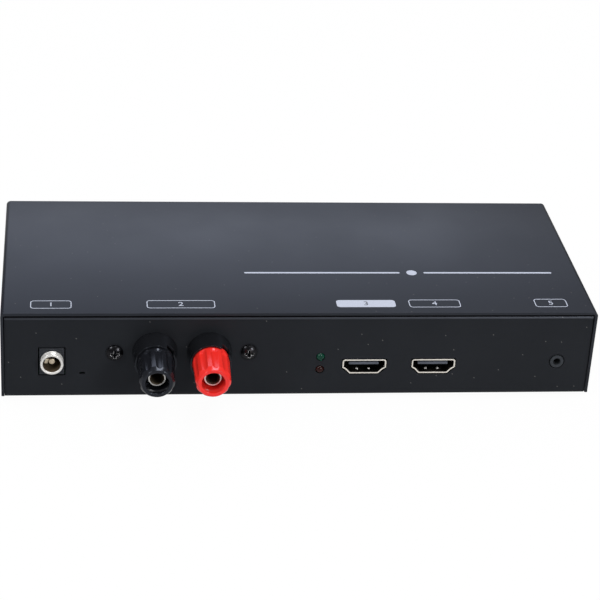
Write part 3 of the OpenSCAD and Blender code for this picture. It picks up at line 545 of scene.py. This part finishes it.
def moulded(name, colour, roughness, peel=0.1):
    """Moulded plastic: a faint sink and flow pattern in the gloss."""
    made = finish(name, colour, roughness, ior=1.53)
    shader_of(made).inputs["Specular Tint"].default_value = (*SKY, 1)
    bumped(made, grain(made, scale=420, detail=3), strength=peel, distance=0.00003)
    flow = grain(made, scale=90, stretch=(1, 0.35, 1))
    glossed(made, flow, sharpest=roughness * 0.8, dullest=roughness * 1.25)
    toned(made, flow, [(NOISE_LOW, shade(colour, 0.88)), (NOISE_HIGH, shade(colour, 1.1))])
    return made


def plated(name, colour, roughness, stretch=(1, 1, 1), tarnish=0.85, metal=1.0):
    """Plated metal: fine tool marks along one direction and a faint tarnish."""
    made = finish(name, colour, roughness, metal)
    bumped(made, grain(made, scale=900, detail=3, stretch=stretch), strength=0.12, distance=0.00002)
    cloud = grain(made, scale=160, detail=3)
    glossed(made, cloud, sharpest=roughness * 0.7, dullest=roughness * 1.4)
    toned(made, cloud, [(NOISE_LOW, shade(colour, tarnish)), (0.65, colour)])
    return made


def screen_ink(name, colour):
    """Screen print: a thin matt film whose cover varies a little."""
    made = finish(name, colour, roughness=0.55)
    marks = grain(made, scale=2600)
    bumped(made, marks, strength=0.2, distance=0.00002)
    toned(made, marks, [(NOISE_LOW, shade(colour, 0.86)), (0.6, colour)])
    return made


def board_mask(name):
    """Green solder mask over copper tracks that run along the board's sides."""
    made = finish(name, (0.012, 0.10, 0.045), roughness=0.3)
    place = object_place(made, stretch=(1, 1, 0.1))
    tracks = add_node(made, "ShaderNodeTexBrick", Scale=160.0)
    tracks.inputs["Color1"].default_value = (0.010, 0.085, 0.038, 1)
    tracks.inputs["Color2"].default_value = (0.013, 0.11, 0.05, 1)
    tracks.inputs["Mortar"].default_value = (0.03, 0.19, 0.08, 1)
    tracks.inputs["Mortar Size"].default_value = 0.03
    join(made, (place, "Vector"), (tracks, "Vector"), (tracks, "Color"), (shader_of(made), "Base Color"))
    bumped(made, tracks, strength=0.3, distance=0.00004)
    return made


def lamp_lens(name, colour):
    """Tinted epoxy of an unlit lamp, clouded a little by its frame."""
    made = finish(name, colour, roughness=0.1, ior=1.54)
    shader_of(made).inputs["Specular IOR Level"].default_value = 0.3
    toned(made, grain(made, scale=700), [(0.35, shade(colour, 0.6)), (0.65, colour)])
    return made


def worn_edge(name):
    """Bright steel that shows in specks where the black has worn off an edge."""
    made = finish(name, (0.6, 0.6, 0.62), roughness=0.3, metallic=0.25)
    toned(made, grain(made, scale=900), [(0.42, (0.02, 0.02, 0.022)), (0.52, (0.95, 0.95, 0.97))])
    return made


# The finish of each of the record's slots: its name, its colour, its roughness, and what else it needs
FINISHES = {
    "cover_paint": powder_coat("cover_paint", (0.0115, 0.0126, 0.0160), few=0.16, shine=0.5),
    "chassis_paint": powder_coat("chassis_paint", (0.0110, 0.0120, 0.0138), few=0.24, shine=0.22),
    "black_screw": plated("black_screw", (0.045, 0.045, 0.05), 0.28, tarnish=0.6),
    "rubber": moulded("rubber", (0.018, 0.018, 0.019), 0.8, peel=0.5),
    "board_green": board_mask("board_green"),
    "brass": plated("brass", (0.62, 0.44, 0.20), 0.22),
    "nickel": plated("nickel", (0.97, 0.95, 0.92), 0.3, tarnish=0.92, metal=0.5),
    "tinned": plated("tinned", (0.92, 0.91, 0.89), 0.34, metal=0.55),
    "steel": plated("steel", (0.58, 0.59, 0.60), 0.28),
    "socket_steel": plated("socket_steel", (0.95, 0.90, 0.82), 0.34, stretch=(1, 0.2, 1), metal=0.45),
    "gold": plated("gold", (0.78, 0.56, 0.22), 0.2),
    "black_plastic": moulded("black_plastic", (0.016, 0.017, 0.019), 0.42, peel=0.25),
    "grey_plastic": moulded("grey_plastic", (0.026, 0.029, 0.032), 0.38, peel=0.2),
    "gloss_black": moulded("gloss_black", (0.008, 0.0085, 0.011), 0.17, peel=0.05),
    "gloss_red": moulded("gloss_red", (0.82, 0.026, 0.018), 0.22, peel=0.05),
    "lamp_green": lamp_lens("lamp_green", (0.004, 0.05, 0.03)),
    "lamp_red": lamp_lens("lamp_red", (0.018, 0.0025, 0.002)),
    "aluminium": plated("aluminium", (0.55, 0.57, 0.60), 0.3, stretch=(1, 0.1, 1)),
    "ferrite": moulded("ferrite", (0.03, 0.03, 0.032), 0.6, peel=0.4),
    "coil_tape": moulded("coil_tape", (0.55, 0.26, 0.03), 0.25),
}

# Finishes for parts of a piece, or in place of its slot's
INK = screen_ink("print_white", (0.46, 0.49, 0.58))
DARK_INK = screen_ink("print_dark", (0.05, 0.055, 0.07))
# Painted highlight: a lighter, glossier coat for the front panel's top bend
BEND_HIGHLIGHT_PAINT = powder_coat("bend_painted_highlight", (0.016, 0.017, 0.020), few=0.2, shine=1.0)
# Painted shade: a nearly black, almost shineless coat for the strip under the cover's edge and the screws'
# recesses
GAP_SHADE_PAINT = powder_coat("gap_painted_shade", (0.004, 0.004, 0.005), few=0.0, shine=0.05)
WORN = worn_edge("worn_steel")
# Painted shade: darkened brass for the studs' bores
STUD_BORE_SHADE = plated("stud_bore_painted_shade", (0.085, 0.065, 0.042), 0.4, tarnish=0.6, metal=0.5)
# Painted highlight: a lighter, glossier black for the collars' rounded rims
RIM_HIGHLIGHT = moulded("rim_painted_highlight", (0.022, 0.024, 0.028), 0.1, peel=0.02)
COLLAR_BLACK = moulded("collar_black", (0.0075, 0.008, 0.0095), 0.14, peel=0.05)
# Painted shade: darkened metal for the insides of the video sockets' shells
SHELL_INSIDE_SHADE = plated("shell_inside", (0.10, 0.09, 0.08), 0.35, tarnish=0.5)
# Painted shade: darkened metal for the power barrel's bore
BARREL_BORE_SHADE = plated("barrel_bore_painted_shade", (0.20, 0.15, 0.10), 0.2, tarnish=0.7, metal=0.4)
TONGUE = moulded("tongue_plastic", (0.10, 0.11, 0.135), 0.35)
PALE_BRASS = plated("pale_brass", (0.86, 0.74, 0.56), 0.35, metal=0.6)


def painted(obj, slot, made=None):
    """Gives a new piece its finish: the one made for it, or else the finish of the record's slot."""
    obj.data.materials.clear()
    obj.data.materials.append(made or FINISHES[slot])
    return obj


def touched_up(obj, made, wanted):
    """Gives the faces that wanted() says yes to a finish of their own."""
    obj.data.materials.append(made)
    for face in obj.data.polygons:
        if wanted(face):
            face.material_index = len(obj.data.materials) - 1
    return obj


def paint_frame():
    """Gives every CAD node the finish of its slot, whose name its own material carries."""
    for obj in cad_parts.values():
        slot = obj.data.materials[0].name.split(".")[0]
        obj.data.materials.clear()
        obj.data.materials.append(FINISHES[slot])


paint_frame()
PANEL_Y, CHASSIS_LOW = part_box("chassis")[0].yz
COVER_FRONT, COVER_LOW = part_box("cover")[0].yz
COVER_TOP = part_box("cover")[1].z


# The case


def cover_shell():
    """The cover, whose side walls end a little higher than the CAD's."""
    obj = painted(dressed("cover", "cover_shell", EDGE_BREAK), "cover_paint")
    with editing(obj):
        bpy.ops.mesh.bisect(plane_co=(0, 0, COVER_LOW + WALL_TRIM), plane_no=(0, 0, 1), use_fill=True,
                            clear_inner=True)
    return obj


def chassis_shell():
    """The chassis with its lower front corners closed, and its top bend painted: a lighter, glossier coat as
    a painted highlight, and nearly black above it as painted shade.
    """
    obj = painted(dressed("chassis", "chassis_shell", 0), "chassis_paint")
    for vertex in obj.data.vertices:
        place = vertex.co
        at_corner = place.y < PANEL_Y + CORNER_DEPTH and place.z < CHASSIS_LOW + BEND_R
        if at_corner and abs(place.x) > CORNER_FROM:
            place.x = math.copysign(WALL_INSIDE - FINE_EDGE, place.x)
    with editing(obj):
        bpy.ops.mesh.remove_doubles(threshold=SAME_POINT)
    smooth(harden(obj, EDGE_BREAK))

    def at_bend(face, low, high):
        near = face.center.y < PANEL_Y + 2 * BEND_R and face.center.z > BEND_LOWEST
        return near and low < face.normal.z < high

    # Painted highlight: the bend's middle slopes get a lighter, glossier coat
    touched_up(obj, BEND_HIGHLIGHT_PAINT, lambda face: at_bend(face, BEND_FROM, BEND_STEEPEST))
    # Painted shade: the bend's upper faces, under the cover's edge, get a nearly black coat
    return touched_up(obj, GAP_SHADE_PAINT, lambda face: at_bend(face, BEND_STEEPEST, math.inf))


cover_shell()
chassis_shell()


# The printing


def on_cover(x0, x1, y0, y1, rise=0.0):
    """The place of the middle of a print on the cover, from its edges in millimetres."""
    across, back = (x0 + x1) / 2 * MM, COVER_FRONT + (y0 + y1) / 2 * MM
    return Matrix.Translation((across, back, COVER_TOP + PRINT_RISE + rise))


def plate(name, x0, x1, y0, y1, corner):
    """A flat plate with round corners on the cover, from its edges in millimetres."""
    obj = added(name, bpy.ops.mesh.primitive_plane_add, size=1)
    settle(obj, on_cover(x0, x1, y0, y1) @ Matrix.Diagonal(((x1 - x0) * MM, (y1 - y0) * MM, 1, 1)))
    with editing(obj):
        bpy.ops.mesh.bevel(offset=corner, segments=PRINT_CORNER_STEPS, affect="VERTICES")
    return obj


def printed(obj, ink):
    """Gives a flat print its thickness, down into the paint, and its ink."""
    modified(obj, "SOLIDIFY", thickness=PRINT_RISE + PRINT_SINK, offset=-1)
    return painted(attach(obj, "case"), "cover_paint", ink)


def label_frame(name, edges):
    """A thin rounded frame: a plate, inset by its line, with the middle taken out."""
    obj = plate(name, *edges, FRAME_CORNER)
    with editing(obj, "FACE"):
        bpy.ops.mesh.inset(thickness=FRAME_LINE)
        bpy.ops.mesh.delete(type="FACE")
    return printed(obj, INK)


def digit(name, text, edges, ink, rise=0.0):
    """A plain number in the middle of a label, as a mesh."""
    bpy.ops.object.select_all(action="DESELECT")
    bpy.ops.object.text_add()
    letters = bpy.context.view_layer.objects.active.data
    letters.body = text
    letters.align_x = letters.align_y = "CENTER"
    letters.size = DIGIT_HEIGHT * TEXT_SIZE
    bpy.ops.object.convert(target="MESH")
    obj = named(name)
    settle(obj, on_cover(*edges, rise))
    with editing(obj):
        bpy.ops.mesh.remove_doubles(threshold=SAME_DRAWN_POINT)
    return printed(obj, ink)


for label, number, *edges in LABEL_FRAMES:
    label_frame(f"{label}_label_frame", edges)
    digit(f"{label}_label_number", number, edges, INK)
printed(plate("output_label_plate", *OUTPUT_LABEL, FRAME_CORNER), INK)
digit("output_label_number", "3", OUTPUT_LABEL, DARK_INK, rise=PRINT_RISE / 2)
for rule in RULES:
    printed(plate(*rule), INK)


# The binding posts and the screws


def flute_wall(angle, height):
    """Radius of the flutes' hollow wall at an angle and a height, or None between the flutes."""
    reach = FLUTE_R
    if height < FLUTE_START:
        drop = FLUTE_START - height
        if drop >= FLUTE_R:
            return None
        reach = math.sqrt(FLUTE_R ** 2 - drop ** 2)
    pitch = 2 * math.pi / FLUTES
    off = (angle + pitch / 2) % pitch - pitch / 2
    middle = CAP_FRONT_R + FLUTE_R - FLUTE_DEPTH
    under = reach ** 2 - (middle * math.sin(off)) ** 2
    if under <= 0:
        return None
    return middle * math.cos(off) - math.sqrt(under)


def soft_less(a, b, blend):
    """The smaller of two lengths, with a round where they cross."""
    share = max(blend - abs(a - b), 0) / blend
    return min(a, b) - share * share * blend / 4


def screw_cap(colour):
    """A fluted screw cap turned from its section, with the flutes pressed in between soft ridges."""
    node = f"{colour}_cap"
    section = stepped(rounded_corners(CAP_SECTION), CAP_FACE_R, CAP_STEP)
    obj = turned(f"{colour}_screw_cap", section, CAP_SEGMENTS)
    for vertex in obj.data.vertices:
        place = vertex.co
        radius = math.hypot(place.x, place.y)
        if radius < CAP_FACE_R - FLUTE_DEPTH or place.z < FLUTE_START - FLUTE_R:
            continue
        wall = flute_wall(math.atan2(place.y, place.x), place.z)
        if wall is not None:
            pressed = soft_less(radius, wall, FLUTE_BLEND)
            place.x *= pressed / radius
            place.y *= pressed / radius
    place = out_of_panel(*face_middle(node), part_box(node)[1].y)
    settle(obj, place @ Matrix.Rotation(CAP_TURN + math.pi / FLUTES, 4, "Z"))
    smooth(obj, angle=50)
    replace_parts(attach(obj, node), node)
    return painted(obj, f"gloss_{colour}")


def collar_ring(side):
    """A collar whose rims are rounded and given a lighter, glossier black as a painted highlight."""
    obj = painted(dressed(f"{side}_collar", f"{side}_collar_ring", 0), "gloss_black", COLLAR_BLACK)
    obj.data.materials.append(RIM_HIGHLIGHT)
    return smooth(harden(obj, COLLAR_EDGE, segments=4, angle=COLLAR_ANGLE, edge_slot=1))


def post_stud(side):
    """The stud with its bore's mouth countersunk, the bore darkened as painted shade and the front faces in
    a brighter nickel as a painted highlight.
    """
    node = f"{side}_stud"
    obj = dressed(node, f"{side}_post_stud", 0)
    low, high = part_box(node)
    middle = (low + high) / 2

    def out(place):
        return math.hypot(place.x - middle.x, place.z - middle.z)

    def on_mouth(edge):
        return all(abs(v.co.y - low.y) < MOUTH_SLACK and out(v.co) < BORE_R + BORE_SLACK for v in edge.verts)

    def in_bore(face):
        near = out(face.center) < BORE_R + COUNTERSINK * COUNTERSINK_SHARE
        return near and face.center.y < high.y - STUD_BACK and abs(face.normal.y) < FACES_OUT

    def on_front(face):
        return face.normal.y < -FACES_OUT and face.center.y < low.y + COUNTERSINK

    with editing(obj, "EDGE", "DESELECT") as bm:
        pick(obj, bm, bm.edges, on_mouth)
        bpy.ops.mesh.bevel(offset=COUNTERSINK, segments=1)
    painted(smooth(obj), "tinned")
    # Painted shade: the bore gets the darkened brass
    touched_up(obj, STUD_BORE_SHADE, in_bore)
    # Painted highlight: the front faces get the brighter nickel
    return touched_up(obj, FINISHES["nickel"], on_front)


def worn_screws(node, name):
    """Black screws whose drive recess has lost its black along the edges."""
    obj = painted(dressed(node, name, 0), "black_screw")
    obj.data.materials.append(WORN)
    return smooth(harden(obj, SCREW_WEAR, angle=SCREW_ANGLE, edge_slot=1))


def panel_screw_pair():
    """The two screws beside the posts, with their drive recesses painted nearly black below the worn edges
    as painted shade.
    """
    low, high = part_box("panel_screws")
    axes = [(x, (low.z + high.z) / 2) for x in (low.x + SCREW_HEAD_R, high.x - SCREW_HEAD_R)]

    # Painted shade: the recess below its worn rim gets the nearly black coat
    def in_recess(face):
        near = min(math.hypot(face.center.x - x, face.center.z - z) for x, z in axes) < RECESS_REACH
        return near and low.y + RECESS_WEAR < face.center.y < low.y + RECESS_DEEP

    return touched_up(worn_screws("panel_screws", "panel_screw_pair"), GAP_SHADE_PAINT, in_recess)


def cover_screw_set():
    """The cover's screws, whose heads stand out of the side walls less than the CAD's."""
    obj = worn_screws("cover_screws", "cover_screw_set")
    for vertex in obj.data.vertices:
        place = vertex.co
        out = abs(place.x) - WALL_OUTSIDE
        if out > 0:
            place.x = math.copysign(WALL_OUTSIDE + out * HEAD_SHARE, place.x)
    return obj


screw_cap("black")
screw_cap("red")
for side in ("left", "right"):
    collar_ring(side)
    post_stud(side)
panel_screw_pair()
cover_screw_set()


# The sockets, the jacks and the lamps


def video_shell(which):
    """A folded shell with its shoulders: bright at its mouth, and darkened inside as painted shade."""
    node = f"{which}_socket_shell"
    low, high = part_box(node)
    middle = (low.x + high.x) / 2
    outline = rounded_corners([(middle + x * MM, low.z + h * MM, r * MM) for x, h, r in SHELL_OUTLINE])
    obj = drawn_line(f"{which}_shell", [Vector((point.x, low.y, point.y)) for point in outline], closed=True)
    with editing(obj, "EDGE"):
        bpy.ops.mesh.extrude_edges_move(TRANSFORM_OT_translate={"value": (0, SHELL_DEPTH, 0)})
        bpy.ops.mesh.edge_face_add()
        bpy.ops.mesh.select_all(action="SELECT")
        bpy.ops.mesh.normals_make_consistent(inside=False)
    modified(obj, "SOLIDIFY", thickness=SHELL_SHEET, offset=-1, use_even_offset=True)
    smooth(harden(obj, FINE_EDGE, segments=3))
    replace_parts(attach(obj, "case"), node)
    painted(obj, "socket_steel")
    # Painted shade: faces behind the lip get the darkened metal
    return touched_up(obj, SHELL_INSIDE_SHADE, lambda face: face.center.y > low.y + SHELL_LIP)


def shell_dimple(which, side, sign):
    """One of the two bright dimples on the floor of a video socket's shell."""
    low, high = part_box(f"{which}_socket_shell")
    obj = added(f"{which}_dimple_{side}", bpy.ops.mesh.primitive_uv_sphere_add, segments=24, ring_count=12,
                radius=DIMPLE_R)
    place = ((low.x + high.x) / 2 + sign * DIMPLE_OFFSET, low.y + DIMPLE_BACK,
             low.z + SHELL_FLOOR * MM + SHELL_SHEET)
    settle(obj, Matrix.Translation(place) @ Matrix.Diagonal(DIMPLE_SHAPE))
    smooth(obj, angle=60)
    return painted(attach(obj, "case"), "socket_steel", FINISHES["nickel"])


def video_tongue(which):
    """The tongue of a video socket, in a paler plastic than the jacks."""
    return painted(dressed(f"{which}_socket_tongue", f"{which}_tongue", FINE_EDGE), "black_plastic", TONGUE)


def power_jack_block():
    """The power jack's body, a little smaller than its hole in the panel."""
    obj = painted(dressed("power_jack_body", "power_jack_block", EDGE_BREAK), "black_plastic")
    low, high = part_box("power_jack_body")
    with editing(obj):
        bpy.ops.transform.resize(value=(BODY_SHRINK, 1, BODY_SHRINK), center_override=(low + high) / 2)
    return obj


def jack_middle():
    """The middle of the power jack's barrel where it is drawn here, as x and z."""
    x, z = face_middle("power_jack_barrel")
    return x, z + JACK_LIFT


def power_barrel():
    """The jack's threaded barrel: a turned tube whose outside is cut with a real helix."""
    x, z = jack_middle()
    section = stepped(rounded_corners(BARREL_SECTION), BARREL_R - THREAD_SLACK, THREAD_STEP, THREAD_SHORTEST)
    obj = turned("power_barrel", section, BARREL_SEGMENTS)
    for vertex in obj.data.vertices:
        place = vertex.co
        radius = math.hypot(place.x, place.y)
        room = min((BARREL_REACH - THREAD_END - place.z) / THREAD_FADE, 1)
        if radius < BARREL_R - THREAD_SKIN or room <= 0:
            continue
        turn = place.z / THREAD_PITCH - math.atan2(place.y, place.x) / (2 * math.pi)
        groove = 0.5 - 0.5 * math.cos(2 * math.pi * turn)
        share = 1 - THREAD_DEPTH * room * groove / radius
        place.x *= share
        place.y *= share
    settle(obj, out_of_panel(x, z, PANEL_Y))
    smooth(obj, angle=60)
    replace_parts(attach(obj, "case"), "power_jack_barrel")
    painted(obj, "nickel")

    # Painted shade: the bore behind the lip gets the darkened metal
    def in_bore(face):
        near = math.hypot(face.center.x - x, face.center.z - z) < BARREL_BORE + BORE_WALL
        return near and face.center.y > PANEL_Y - BARREL_REACH + BARREL_LIP

    return touched_up(obj, BARREL_BORE_SHADE, in_bore)


def rod(name, node, middle, radius, back, tip, tip_round, steps=5):
    """A turned rod that stands for a node, from its back behind the panel to its rounded tip."""
    corners = [(0, back, 0), (radius, back, 0), (radius, tip, tip_round), (0, tip, 0)]
    obj = turned(name, rounded_corners(corners, steps), ROD_SEGMENTS)
    settle(obj, out_of_panel(*middle, PANEL_Y))
    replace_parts(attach(obj, "case"), node)
    return obj


def power_pin():
    """The centre pin, whose end stands behind the barrel's mouth."""
    obj = rod("power_pin", "power_jack_pin", jack_middle(), PIN_R, -BARREL_DEEP, BARREL_REACH - PIN_BACK,
              PIN_ROUND)
    return painted(smooth(obj, angle=50), "brass", PALE_BRASS)


def power_spring():
    """The barrel's contact spring: a leaf along the left of the bore that hooks in beside the pin."""
    path = [Vector((-SPRING_W / 2, off * MM, out * MM)) for out, off in SPRING_PATH]
    obj = drawn_line("power_spring", path, closed=False)
    with editing(obj):
        bpy.ops.mesh.extrude_edges_move(TRANSFORM_OT_translate={"value": (SPRING_W, 0, 0)})
    modified(obj, "SOLIDIFY", thickness=SPRING_SHEET, offset=0)
    harden(obj, SPRING_EDGE)
    settle(obj, out_of_panel(*jack_middle(), PANEL_Y) @ Matrix.Rotation(SPRING_TURN, 4, "Z"))
    smooth(obj, angle=60)
    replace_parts(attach(obj, "case"), "power_jack_spring")
    return painted(obj, "brass", PALE_BRASS)


def remote_nose():
    """The remote jack's ring in its round hole."""
    return painted(dressed("remote_jack_body", "remote_jack_nose", EDGE_BREAK), "grey_plastic")


def lamp_dome(colour):
    """An unlit lamp's lens: a turned dome that looks out of its hole."""
    node = f"{colour}_lamp"
    obj = rod(f"{colour}_lamp_lens", node, face_middle(node), LAMP_R, -LAMP_DEEP, LAMP_REACH, LAMP_ROUND,
              LAMP_STEPS)
    return painted(smooth(obj, angle=60), f"lamp_{colour}")


for which in ("output", "input"):
    video_shell(which)
    shell_dimple(which, "left", -1)
    shell_dimple(which, "right", 1)
    video_tongue(which)
power_jack_block()
power_barrel()
power_pin()
power_spring()
remote_nose()
lamp_dome("green")
lamp_dome("red")


# The stage, the lights and the camera


def by_ray(tree, otherwise, *shares):
    """A value that depends on the kind of ray: (ray, value) pairs over one for all the others."""
    path = tree.nodes.new("ShaderNodeLightPath")
    last = None
    for ray, value in shares:
        choice = tree.nodes.new("ShaderNodeMix")
        choice.inputs[NUMBER_B].default_value = value
        if last is None:
            choice.inputs[NUMBER_A].default_value = otherwise
        else:
            tree.links.new(last.outputs[NUMBER_OUT], choice.inputs[NUMBER_A])
        tree.links.new(path.outputs[ray], choice.inputs["Factor"])
        last = choice
    return last


def stage():
    """A wide pale floor that the camera sees as white, with a soft shadow and a quiet reflection."""
    floor = added("floor", bpy.ops.mesh.primitive_plane_add, size=FLOOR_SIZE)
    made = finish("floor_paper", (0.80, 0.80, 0.80), roughness=0.9)
    shader_of(made).inputs["Specular IOR Level"].default_value = 0.0
    tree = made.node_tree
    glow = add_node(made, "ShaderNodeEmission")
    mixed = add_node(made, "ShaderNodeMixShader")
    strength = by_ray(tree, 0.0, ("Is Camera Ray", 1.0), ("Is Glossy Ray", FLOOR_SHINE))
    share = by_ray(tree, 0.0, ("Is Glossy Ray", 1.0), ("Is Camera Ray", FLOOR_WHITE))
    join(made, (strength, NUMBER_OUT), (glow, "Strength"), (share, NUMBER_OUT), (mixed, "Fac"),
         (shader_of(made), "BSDF"), (mixed, SHADER_A), (glow, "Emission"), (mixed, SHADER_B),
         (mixed, "Shader"), (tree.nodes["Material Output"], "Surface"))
    floor.data.materials.append(made)


def dark_card():
    """A black card at the left, seen only in reflections, that keeps the case's left wall black."""
    card = added("dark_card", bpy.ops.mesh.primitive_plane_add, size=CARD_SIZE)
    settle(card, Matrix.Translation(CARD_PLACE) @ Matrix.Rotation(math.pi / 2, 4, "Y"))
    card.data.materials.append(finish("card_black", (0.002, 0.002, 0.002), roughness=1.0))
    card.visible_camera = card.visible_diffuse = card.visible_shadow = False


def backdrop():
    """A plain white world for the camera, a quiet one for reflections and a soft one for light."""
    world = bpy.data.worlds.new("studio")
    bpy.context.scene.world = world
    world.use_nodes = True
    tree = world.node_tree
    ground = tree.nodes["Background"]
    strength = by_ray(tree, WORLD_FILL, ("Is Glossy Ray", WORLD_SHINE), ("Is Transmission Ray", 1.0),
                      ("Is Camera Ray", 1.0))
    tree.links.new(strength.outputs[NUMBER_OUT], ground.inputs["Strength"])
    ground.inputs["Color"].default_value = (*WHITE, 1)


def softbox(name, place, target, size, power, colour):
    """A rectangular area light at a place, turned to its target."""
    light = bpy.data.lights.new(name, "AREA")
    light.shape = "RECTANGLE"
    light.size, light.size_y = size
    light.energy = power
    light.color = colour
    obj = bpy.data.objects.new(name, light)
    bpy.context.scene.collection.objects.link(obj)
    obj.location = place
    obj.rotation_euler = (Vector(target) - Vector(place)).to_track_quat("-Z", "Y").to_euler()


def camera():
    """The camera at the photograph's place, turned by yaw, pitch and roll."""
    lens = bpy.data.cameras.new("camera")
    lens.sensor_width = SENSOR_MM
    lens.lens = CAMERA_FOCAL_PX / PICTURE_PX * SENSOR_MM
    lens.clip_start, lens.clip_end = CAMERA_NEAR, CAMERA_FAR
    obj = bpy.data.objects.new("camera", lens)
    bpy.context.scene.collection.objects.link(obj)
    ahead, down = math.cos(CAMERA_PITCH), -math.sin(CAMERA_PITCH)
    forward = Vector((math.sin(CAMERA_YAW) * ahead, math.cos(CAMERA_YAW) * ahead, down))
    level = Vector((math.cos(CAMERA_YAW), -math.sin(CAMERA_YAW), 0))
    upward = level.cross(forward)
    right = math.cos(CAMERA_ROLL) * level + math.sin(CAMERA_ROLL) * upward
    top = -math.sin(CAMERA_ROLL) * level + math.cos(CAMERA_ROLL) * upward
    turn = Matrix((right, top, -forward)).transposed()
    obj.matrix_world = Matrix.Translation(CAMERA_PLACE) @ turn.to_4x4()
    bpy.context.scene.camera = obj


stage()
dark_card()
backdrop()
for box in SOFTBOXES:
    softbox(*box)
camera()
bpy.context.scene.view_settings.view_transform = "Standard"
